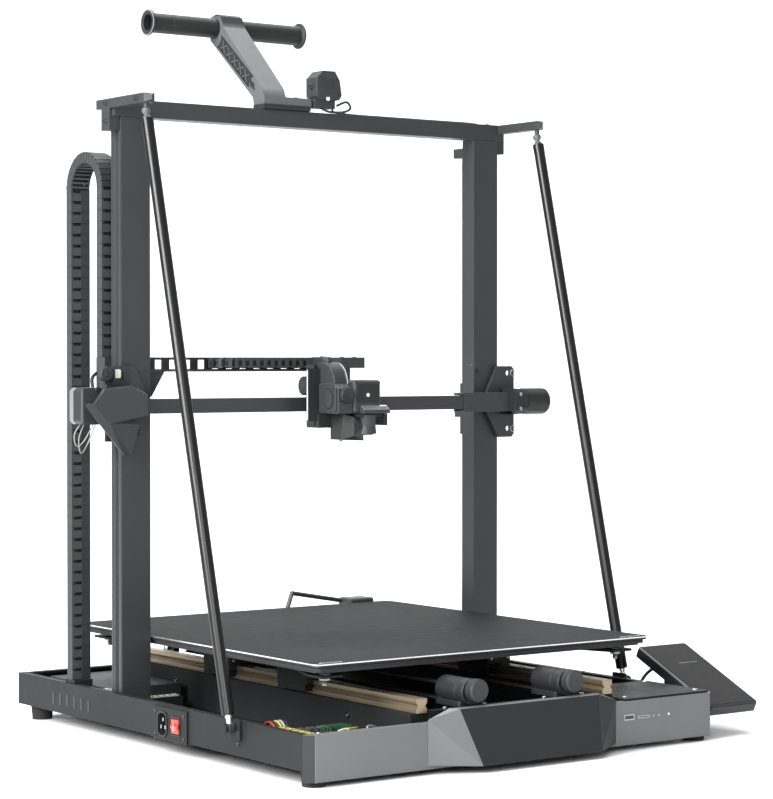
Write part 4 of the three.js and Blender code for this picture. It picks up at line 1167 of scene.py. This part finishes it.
middle = Vector((chain_x, (rear_y + front_y) / 2, bend_low.z))
count = 18
frames = []
for i in range(count):
    a = pi * (i + 0.5) / count
    ray = Vector((0, -cos(a), sin(a)))
    frames.append((middle + ray * turn, Vector((0, sin(a), cos(a))), ACROSS, ray))
chain("lift_chain_bend_links", "lift_chain_loop", "lift_chain_bend", frames, chain_w, chain_d,
      pi * turn / MM / count,
      ["lift_chain_bend"], None, (-0.5, 0.5), True)


# ---------------------------------------------------------------- gantry
eased("gantry_beam", COAT, 1.4, 3)


def right_detail(piece):
    low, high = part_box("carriage_right")
    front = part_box("beam_end_fitting")[0].y + 21.2 * MM
    for z in (high.z - 9 * MM, low.z + 11 * MM):
        piece.lathe((high.x - 9.8 * MM, front + 0.1 * MM, z), (0, -1, 0),
                    [(0, 3.3), (0, 4.2), (0.5, 4.0), (0.5, 3.3)],
                    ZINC, 24, closed=True)
    # wheels that run on the outer face of the upright
    for z in (high.z - 26 * MM, low.z + 26 * MM):
        piece.lathe((high.x - 15 * MM, front + 14 * MM, z), (0, 1, 0),
                    [(0, 3), (0, 5.4), (2, 6), (6, 6), (8, 5.4), (8, 3)],
                    SOFT_BLACK, 28, closed=True)
    nut_low, nut_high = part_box("lead_screw_right")
    x, y = (nut_low.x + nut_high.x) / 2, (nut_low.y + nut_high.y) / 2
    piece.lathe((x + 1 * MM, y + 2 * MM, low.z + 48 * MM), (0, 0, 1),
                [(0, 4.2), (0, 7.5), (3, 7.5), (3, 6), (6, 6), (6, 4.2)], BRASS, 28,
                closed=True)
    # limit switch at the inner edge of the upright
    piece.block((low.x + 5 * MM, front + 24 * MM, high.z - 4 * MM), (7, 9, 18), DARK, 0.6)
    piece.block((low.x + 0.4 * MM, front + 22 * MM, high.z + 1 * MM), (3, 1, 1), STEEL, 0.2)
    piece.lathe((low.x + 4.5 * MM, front + 18 * MM, high.z - 7 * MM), (0, -1, 0),
                [(0, 3.4), (2.4, 3.4), (2.8, 2.8), (2.8, 0)],
                BOLT, 16)


eased("carriage_right", COAT, 0.8, extra=right_detail)


def left_detail(piece):
    low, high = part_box("carriage_left")
    plate_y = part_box("beam_motor_cover")[1].y + 3 * MM
    x0 = low.x + 28 * MM
    # pale spacer, wheel and its screw above the cover
    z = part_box("beam_motor_cover")[1].z + 12.5 * MM
    piece.prism(rounded(x0 + 8 * MM, x0 + 20 * MM, z - 5 * MM, z + 5 * MM, 2 * MM), "y", plate_y - 2.2 * MM,
                plate_y, NYLON,
                0.4 * MM)
    piece.lathe((x0 - 2 * MM, plate_y - 9 * MM, z), (0, 1, 0),
                [(0, 2.6), (0, 7), (1.4, 8.6), (7.6, 8.6), (9, 7), (9, 2.6)],
                SOFT_BLACK, 32, closed=True)
    piece.lathe((x0 - 2 * MM, plate_y - 10.6 * MM, z), (0, 1, 0),
                [(0, 0), (0, 3.0), (0.6, 3.6), (2.4, 3.6), (2.4, 0)],
                BOLT, 6)
    piece.block((x0 + 8.6 * MM, plate_y - 3 * MM, z - 2 * MM), (2.0, 8, 20), SOFT_BLACK, 0.4)
    piece.block((x0 + 25 * MM, plate_y - 1.6 * MM, z + 1 * MM), (3, 3.4, 17), SOFT_BLACK, 0.5)
    for dx, dz in ((-10, -18), (30, -76), (44, -68)):
        piece.lathe((x0 + dx * MM, plate_y, z + dz * MM), (0, -1, 0),
                    [(-0.3, 3), (1.2, 3), (1.8, 2.4), (1.8, 1.3), (0.8, 0)],
                    BOLT, 16)
    nut_low, nut_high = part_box("lead_screw_left")
    x, y = (nut_low.x + nut_high.x) / 2, (nut_low.y + nut_high.y) / 2
    piece.lathe((x, y, low.z + 51 * MM), (0, 0, 1), [(0, 5), (0, 8.5), (3, 8.5), (3, 6.2), (9, 6.2), (9, 5)],
                BRASS, 28,
                closed=True)
    # clamp that holds the end of the lift chain
    piece.block((chain_x, front_y, front_low.z - 4 * MM), (chain_w - 3, chain_d - 2, 12), SOFT_BLACK, 0.8)
    for dx in (-6, 6):
        piece.screw((chain_x + dx * MM, front_y - 5.5 * MM, front_low.z - 4 * MM), (0, -1, 0), 2.0, BOLT, 1.4)


eased("carriage_left", COAT, 0.7, extra=left_detail)


def fitting_detail(piece):
    low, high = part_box("beam_end_fitting")
    for z in (low.z + 8 * MM, high.z - 8 * MM):
        piece.lathe((high.x - 13 * MM, low.y + 1.2 * MM, z), (0, -1, 0),
                    [(-0.3, 2.4), (0.7, 2.4), (1.1, 2), (1.1, 1), (0.4, 0)],
                    ZINC, 14)


eased("beam_end_fitting", BADGE, 1.0, 3, extra=fitting_detail, paint=lambda c, n: (
    COAT if c.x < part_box("beam_end_fitting")[1].x - 22.5 * MM else None))
low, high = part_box("beam_tension_knob")
knob("beam_tension_knob", (1, 0, 0), 16.4, (high.x - low.x) / MM, 10, BADGE,
     (low.x, (low.y + high.y) / 2, (low.z + high.z) / 2))

low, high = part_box("beam_motor")
motor("beam_motor", low, high, "y")


def pulley_detail(piece):
    low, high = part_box("beam_motor_pulley")
    centre = Vector(((low.x + high.x) / 2, high.y - 21.5 * MM, (low.z + high.z) / 2))
    for i in range(16):
        a = 2 * pi * i / 16
        ray = Vector((cos(a), 0, sin(a)))
        piece.obox(centre + ray * 5.7 * MM, (Vector((0, 1, 0)), ray, Vector((0, 1, 0)).cross(ray)),
                   (7.4, 0.5, 0.9), STEEL)


eased("beam_motor_pulley", STEEL, 0.3, extra=pulley_detail)
eased("beam_belt", RUBBER, 0.0)


def cap_detail(piece):
    low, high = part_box("beam_motor_cover")
    for x, z in ((high.x - 12 * MM, high.z - 4 * MM), (low.x + 40 * MM, high.z - 4 * MM)):
        piece.lathe((x, high.y - 7 * MM, z), (0, 0, 1), [(-0.3, 2), (3.6, 2), (4.2, 1.6), (4.2, 0)], DARK, 12)


# painted shade: the cover's facets that face left and down take the dark badge colour
eased("beam_motor_cover", COAT, 0.5, 2, angle=8, extra=cap_detail, paint=lambda c, n: (
    BADGE if n.x < -0.35 and n.z < -0.15 and n.y > -0.85 else None))
low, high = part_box("beam_motor")
harness = Piece()
for i, (mat, drop) in enumerate(((GREY_WIRE, 26), (GREY_WIRE, 34))):
    harness.tube(curve([
        (low.x + (10 + i * 5) * MM, high.y - 8 * MM, low.z + 1 * MM),
        (low.x + (4 + i * 6) * MM, high.y - 4 * MM, low.z - drop * 0.5 * MM),
        (low.x + (12 + i * 5) * MM, high.y + 4 * MM, low.z - drop * MM),
        (low.x + (26 + i * 3) * MM, high.y + 10 * MM, low.z - drop * 0.7 * MM),
        (low.x + (36 + i * 2) * MM, high.y + 2 * MM, low.z + 6 * MM),
    ]), 0.7, mat, 8)
harness.tube(curve([
    (low.x + 30 * MM, high.y - 2 * MM, high.z - 4 * MM),
    (low.x + 36 * MM, high.y + 10 * MM, high.z + 12 * MM),
    (chain_x - 4 * MM, front_y + 3 * MM, front_low.z - 12 * MM),
    (chain_x - 4 * MM, front_y, front_low.z + 1 * MM),
]), 2.0, DARK, 10)
harness.place("beam_motor_wires", "gantry")

# ---------------------------------------------------------------- beam cable chain
rear_low, rear_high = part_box("beam_chain_rear")
front_low, front_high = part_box("beam_chain_front")
bend_low, bend_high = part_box("beam_chain_bend")
level = (rear_low.z + rear_high.z) / 2
tall, thick = (rear_high.z - rear_low.z) / MM, (rear_high.y - rear_low.y) / MM
rear_y, front_y = (rear_low.y + rear_high.y) / 2, (front_low.y + front_high.y) / 2
UP = Vector((0, 0, 1))
turn_x = bend_high.x
frames, pitch = line_frames((turn_x, rear_y, level), (rear_high.x, rear_y, level), 10, UP, (0, 1, 0))
chain("beam_chain_rear_links", "gantry", "beam_chain_rear", frames, tall, thick, pitch, ["beam_chain_rear"],
      ("gantry", "beam_chain_loop", (rear_high.x, rear_y, level), (turn_x, rear_y, level)))
frames, pitch = line_frames((turn_x, front_y, level), (front_high.x + 14 * MM, front_y, level), 10, UP,
                            (0, -1, 0))
span = front_high.x - turn_x
chain("beam_chain_front_links", "print_head", "beam_chain_front", frames, tall, thick, pitch,
      ["beam_chain_front"],
      ("gantry", "print_head", (turn_x - span * 1.43, front_y, level),
       (turn_x + span * 1.43, front_y, level)))
turn = (rear_y - front_y) / 2
middle = Vector((turn_x, (rear_y + front_y) / 2, level))
count = 5
frames = []
for i in range(count):
    a = pi * (i + 0.5) / count
    ray = Vector((-sin(a), -cos(a), 0))
    frames.append((middle + ray * turn, Vector((-cos(a), sin(a), 0)), UP, ray))
chain("beam_chain_bend_links", "beam_chain_loop", "beam_chain_bend", frames, tall, thick,
      pi * turn / MM / count,
      ["beam_chain_bend"])

# ---------------------------------------------------------------- print head
body_low, body_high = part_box("extruder_body")
cover_low, cover_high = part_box("head_front_cover")
shroud_low, shroud_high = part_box("head_shroud")
dial_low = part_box("extruder_dial")[0]
dome = Vector((body_high.x, body_low.y + 36 * MM, body_high.z - 25 * MM))


def head_plate_detail(piece):
    low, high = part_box("head_carriage")
    for dx, dz in ((6, 8), (6, -8)):
        piece.lathe((body_low.x - 0.5 * MM + dx * MM, body_high.y + 0.5 * MM, dome.z + dz * MM), (0, -1, 0),
                    [(0, 2.4), (1.4, 2.4), (1.4, 0)], BOLT, 14)
    top = high.z
    for dx in (12, 30):
        piece.screw((cover_low.x + 22 * MM + dx * MM, low.y + 12 * MM, top), (0, 0, 1), 2.4, BOLT, 0.8)
    piece.block((front_high.x + 16 * MM, front_low.y - 0.6 * MM, level), (26, 1.6, 15), COAT, 0.4)
    for dx in (8, 24):
        piece.screw((front_high.x + dx * MM, front_low.y - 1.2 * MM, level), (0, -1, 0), 2.0, BOLT, 1.4)


eased("head_carriage", COAT, 0.7, extra=head_plate_detail)


def extruder_detail(piece):
    # painted highlight along the rim of the gear housing's arch: a pale arc, white over part of its length
    rim = []
    for i in range(25):
        a = radians(-6 + i * 5.4)
        rim.append((dome.y - 25.4 * MM * cos(a), dome.z + 25.4 * MM * sin(a)))
    inner = [(dome.y + (y - dome.y) * 0.93, dome.z + (z - dome.z) * 0.93) for y, z in rim]
    piece.prism([*rim, *reversed(inner)], "x", body_high.x - 1.9 * MM, body_high.x - 0.5 * MM, BEZEL)
    piece.prism([*rim[:15], *reversed(inner[:15])], "x", body_high.x - 0.6 * MM, body_high.x + 0.1 * MM,
                WHITE)
    # framed oval on the left face
    x = body_low.x
    y0, y1 = body_low.y + 3 * MM, body_low.y + 33 * MM
    z0, z1 = body_low.z + 2 * MM, body_low.z + 33 * MM
    piece.prism(rounded(y0, y1, z0, z1, 4 * MM), "x", x - 1.6 * MM, x + 0.2 * MM, COAT, 0.6 * MM)
    oval = [((y0 + y1) / 2 + 10 * MM * cos(a),
             (z0 + z1) / 2 + 12.5 * MM * sin(a)) for a in (2 * pi * i / 36 for i in range(36))]
    small = [((y0 + y1) / 2 + 8.6 * MM * cos(a),
              (z0 + z1) / 2 + 11 * MM * sin(a)) for a in (2 * pi * i / 36 for i in range(36))]
    piece.prism(oval, "x", x - 2.4 * MM, x - 1.4 * MM, WALL, 0.4 * MM)
    piece.prism(small, "x", x - 2.7 * MM, x - 2.3 * MM, COAT, 0.15 * MM)
    # frame behind the body, and a guard beside the dial; the white strip down the guard's edge is a painted
    # highlight
    piece.box((x - 4 * MM, body_high.y - 17 * MM, body_low.z - 15 * MM),
              (x - 0.4 * MM, body_high.y - 0.5 * MM,
               body_high.z - 3 * MM), PAN, 1.0 * MM)
    guard_y = dial_low.y - 3.4 * MM
    piece.box((dial_low.x - 3.4 * MM, guard_y, body_low.z - 9 * MM), (x - 0.4 * MM, guard_y + 2.4 * MM,
                                                                      body_high.z - 7 * MM), PAN, 0.5 * MM)
    piece.box((dial_low.x - 3.9 * MM, guard_y - 0.2 * MM, body_low.z - 8 * MM),
              (dial_low.x - 3.0 * MM, guard_y + 0.6 * MM,
               body_high.z - 9 * MM), WHITE)
    # pinch knob on the front
    knob_at = Vector((x + 10 * MM, body_low.y + 0.5 * MM, body_low.z + 22 * MM))
    piece.lathe(knob_at, (0, -1, 0),
                [(0, 7.6), (0.6, 8.8), (1.4, 9.2), (6.4, 9.2), (7.2, 8.6), (7.2, 6.4), (6.6, 6.0),
                 (6.6, 0)], DARK, 40)
    for i in range(20):
        a = 2 * pi * i / 20
        ray = Vector((cos(a), 0, sin(a)))
        piece.obox(knob_at + ray * 9.2 * MM - Vector((0, 3.9 * MM, 0)),
                   (Vector((0, 1, 0)), ray, Vector((0, 1, 0)).cross(ray)),
                   (4.6, 0.8, 1.0), DARK, 0.1)
    # filament inlet on top
    piece.lathe((x + 10 * MM, dome.y, dome.z + 24 * MM), (0, 0, 1),
                [(0, 4.2), (2.2, 4.2), (2.6, 3.6), (5.4, 3.6), (5.8, 3.0),
                 (5.8, 1.3), (3, 1.3)], SOFT_BLACK, 20)
    # cooling fins of the motor behind the arch
    for i in range(5):
        piece.block((body_low.x + 10.5 * MM, dome.y + (6 + i * 3.2) * MM, body_low.z + 36 * MM),
                    (20.5, 1.2, 14), SOFT_BLACK, 0.3)
    for y, z in ((y0 + 3 * MM, z1 - 3 * MM), (y1 - 3 * MM, z1 - 3 * MM), (y1 - 3 * MM, z0 + 3 * MM)):
        piece.lathe((x - 1.5 * MM, y, z), (-1, 0, 0), [(-0.3, 1.5), (0.5, 1.5), (0.8, 1.1), (0.8, 0)], BOLT,
                    12)


eased("extruder_body", COAT, 1.2, 3, extra=extruder_detail)


def dial_detail(piece):
    low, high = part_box("extruder_dial")
    centre = Vector((low.x, (low.y + high.y) / 2, (low.z + high.z) / 2))
    for i in range(30):
        a = 2 * pi * i / 30
        ray = Vector((0, cos(a), sin(a)))
        piece.obox(centre + Vector((4.5 * MM, 0, 0)) + ray * 10.9 * MM,
                   (Vector((1, 0, 0)), ray, Vector((1, 0, 0)).cross(ray)),
                   (8, 0.9, 1.3), DARK, 0.15)
    piece.lathe(centre + Vector((0.2 * MM, 0, 0)), (-1, 0, 0), [(0, 4.4), (0.5, 4.4), (0.8, 3.9), (0.8, 0)],
                SOFT_BLACK, 24)


eased("extruder_dial", DARK, 0.6, extra=dial_detail)


# painted highlight: the up-facing faces of the low front ledge take the lighter panel colour
def cover_ledge_painted_highlight(centre, normal):
    if centre.z < cover_low.z + 11 * MM and centre.y < cover_low.y + 9 * MM:
        return PANEL if normal.z > 0.3 else COAT
    return None


def front_cover_detail(piece):
    x0, x1 = cover_low.x, cover_low.x + 39.6 * MM
    front = cover_low.y + 6 * MM
    mid = (x0 + x1) / 2
    piece.prism(rounded(x0 + 4 * MM, x1 - 3 * MM, cover_low.z + 13 * MM, cover_high.z - 4 * MM, 3 * MM), "y",
                front - 0.8 * MM, front + 0.2 * MM, BADGE, 0.3 * MM)
    piece.lathe((mid, front - 0.7 * MM, cover_low.z + 22 * MM), (0, -1, 0),
                [(0, 2.2), (0.4, 2.2), (0.7, 1.6), (0.7, 0)],
                LED, 20)
    for dx, dz in ((3, -3), (36.5, -3)):
        piece.lathe((x0 + dx * MM, front + 0.2 * MM, cover_high.z + dz * MM), (0, -1, 0),
                    [(-0.2, 1.5), (0.5, 1.5), (0.8, 1.1), (0.8, 0)],
                    BOLT, 12)
    # painted highlight: a thin white strip at the right end of the ledge
    piece.block((cover_high.x - 9 * MM, cover_low.y + 2.4 * MM, cover_low.z + 9.2 * MM), (9, 1.2, 0.8),
                WHITE, 0.2)
    # vents on the right side face
    for i in range(6):
        piece.block((x1, front + (12 + i * 5) * MM, cover_low.z + 26 * MM), (0.5, 2.4, 20), DARK, 0.1)
    # strain relief and cable up to the chain
    piece.block((x0 + 12 * MM, cover_high.y - 8 * MM, cover_high.z + 1.5 * MM), (14, 9, 5), DARK, 0.8)


eased("head_front_cover", COAT, 1.2, 3, paint=cover_ledge_painted_highlight, extra=front_cover_detail)


def shroud_paint(centre, normal):
    across = shroud_low.x + 37 * MM < centre.x < shroud_low.x + 62 * MM
    duct = across and centre.y < shroud_low.y + 26 * MM
    return COAT if duct and centre.z < shroud_high.z - 4 * MM else None


def shroud_detail(piece):
    # rounded outlet duct with its lip
    x, y = shroud_low.x + 49.5 * MM, shroud_low.y + 12.5 * MM
    piece.lathe((x, y, shroud_low.z + 7.4 * MM), (0, 0, 1),
                [(0, 8.6), (0.6, 9.6), (1.6, 10.0), (6, 11.0), (23, 12.9), (23.6, 12.4)],
                COAT, 48)
    piece.lathe((x, y, shroud_low.z + 7.2 * MM), (0, 0, -1), [(0, 8.6), (0.5, 8.4), (0.5, 0)], CHIP, 32)
    # painted highlight: a thin white line down the left side of the shroud
    piece.box((shroud_low.x + 0.6 * MM, shroud_high.y - 24 * MM, shroud_low.z + 16 * MM),
              (shroud_low.x + 1.1 * MM,
               shroud_high.y - 22.8 * MM, shroud_high.z - 2 * MM), WHITE)
    # levelling probe behind the duct
    piece.lathe((shroud_low.x + 64 * MM, shroud_high.y - 28 * MM, shroud_low.z + 6 * MM), (0, 0, 1),
                [(0, 0), (0.5, 1.4), (6, 1.6), (6, 5.6), (7, 6.2), (28, 6.2)], NYLON, 24)


eased("head_shroud", PAN, 1.0, 3, paint=shroud_paint, extra=shroud_detail)
eased("nozzle", BRASS, 0.2)

cables = Piece()
for i, (mat, r) in enumerate(((DARK, 1.7), (DARK, 1.4), (SOFT_BLACK, 1.2))):
    cables.tube(curve([
        (cover_low.x + (9 + i * 3.4) * MM, cover_high.y - 8 * MM, cover_high.z + 3 * MM),
        (cover_low.x + (8 + i * 3) * MM, cover_high.y - 2 * MM, cover_high.z + 16 * MM),
        (cover_low.x + (12 + i * 3) * MM, cover_high.y + 22 * MM, cover_high.z + 27 * MM),
        (front_high.x + (10 + i * 2) * MM, front_low.y - 12 * MM, level + 3 * MM),
        (front_high.x + (4 + i * 2) * MM, front_y, level),
    ]), r, mat, 10)
cables.place("head_cables", "print_head")

# ---------------------------------------------------------------- floor, light and camera
floor_material = material("studio_floor", (0.82, 0.82, 0.82), 0.6, mottle=0.01)
floor = bpy.data.objects.new("floor", bpy.data.meshes.new("floor"))
shape = bmesh.new()
width, near, far, wall_height, bend = 14.0, -6.0, 7.0, 7.0, 2.5
profile = [(near, 0.0), (far - bend, 0.0)]
profile += [(far - bend + bend * sin(a),
             bend - bend * cos(a)) for a in (pi / 2 * i / 12 for i in range(1, 13))]
profile += [(far, wall_height)]
rows = [[shape.verts.new((sx * width, y, z)) for sx in (-1, 1)] for y, z in profile]
for a, b in zip(rows, rows[1:]):
    shape.faces.new((a[0], a[1], b[1], b[0]))
shape.to_mesh(floor.data)
shape.free()
for polygon in floor.data.polygons:
    polygon.use_smooth = True
floor.data.materials.append(floor_material)
floor.rotation_euler.z = -radians(35.9)
bpy.context.scene.collection.objects.link(floor)
floor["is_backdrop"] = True


def area_light(name, place, target, size, power):
    data = bpy.data.lights.new(name, "AREA")
    data.shape = "RECTANGLE"
    data.size, data.size_y = size
    data.energy = power
    light = bpy.data.objects.new(name, data)
    light.location = place
    light.rotation_euler = (Vector(target) - Vector(place)).to_track_quat("-Z", "Y").to_euler()
    bpy.context.scene.collection.objects.link(light)


centre = (cad_low + cad_high) / 2
area_light("key", (-3.4, -0.6, 2.0), centre, (2.0, 2.0), 330)
area_light("front", (-1.1, -1.45, 0.75), (centre.x - 0.3, centre.y, centre.z - 0.2), (0.7, 0.6), 14)
area_light("top", (0.0, 0.6, 3.6), centre, (2.6, 2.6), 90)
area_light("backdrop", (0.8, 2.2, 4.6), (2.6, 4.6, 0.4), (5.0, 2.0), 330)

world = bpy.data.worlds.new("studio")
world.use_nodes = True
world.node_tree.nodes["Background"].inputs["Color"].default_value = (1, 1, 1, 1)
world.node_tree.nodes["Background"].inputs["Strength"].default_value = 0.55
bpy.context.scene.world = world
bpy.context.scene.view_settings.view_transform = "Standard"

VIEW_ANGLE = radians(35.9)
FOCAL_PX, HORIZON_PX, IMAGE_HEIGHT = 2460.6, 359.5, 799
camera = bpy.data.objects.new("camera", bpy.data.cameras.new("camera"))
camera.location = (-1.7005, -2.3832, 0.4404)
look = Vector((sin(VIEW_ANGLE), cos(VIEW_ANGLE), -(IMAGE_HEIGHT / 2 - HORIZON_PX) / FOCAL_PX))
camera.rotation_euler = look.to_track_quat("-Z", "Y").to_euler()
camera.data.sensor_width = 36.0
camera.data.lens = FOCAL_PX / IMAGE_HEIGHT * 36.0
camera.data.clip_end = 100
bpy.context.scene.collection.objects.link(camera)
bpy.context.scene.camera = camera

low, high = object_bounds()
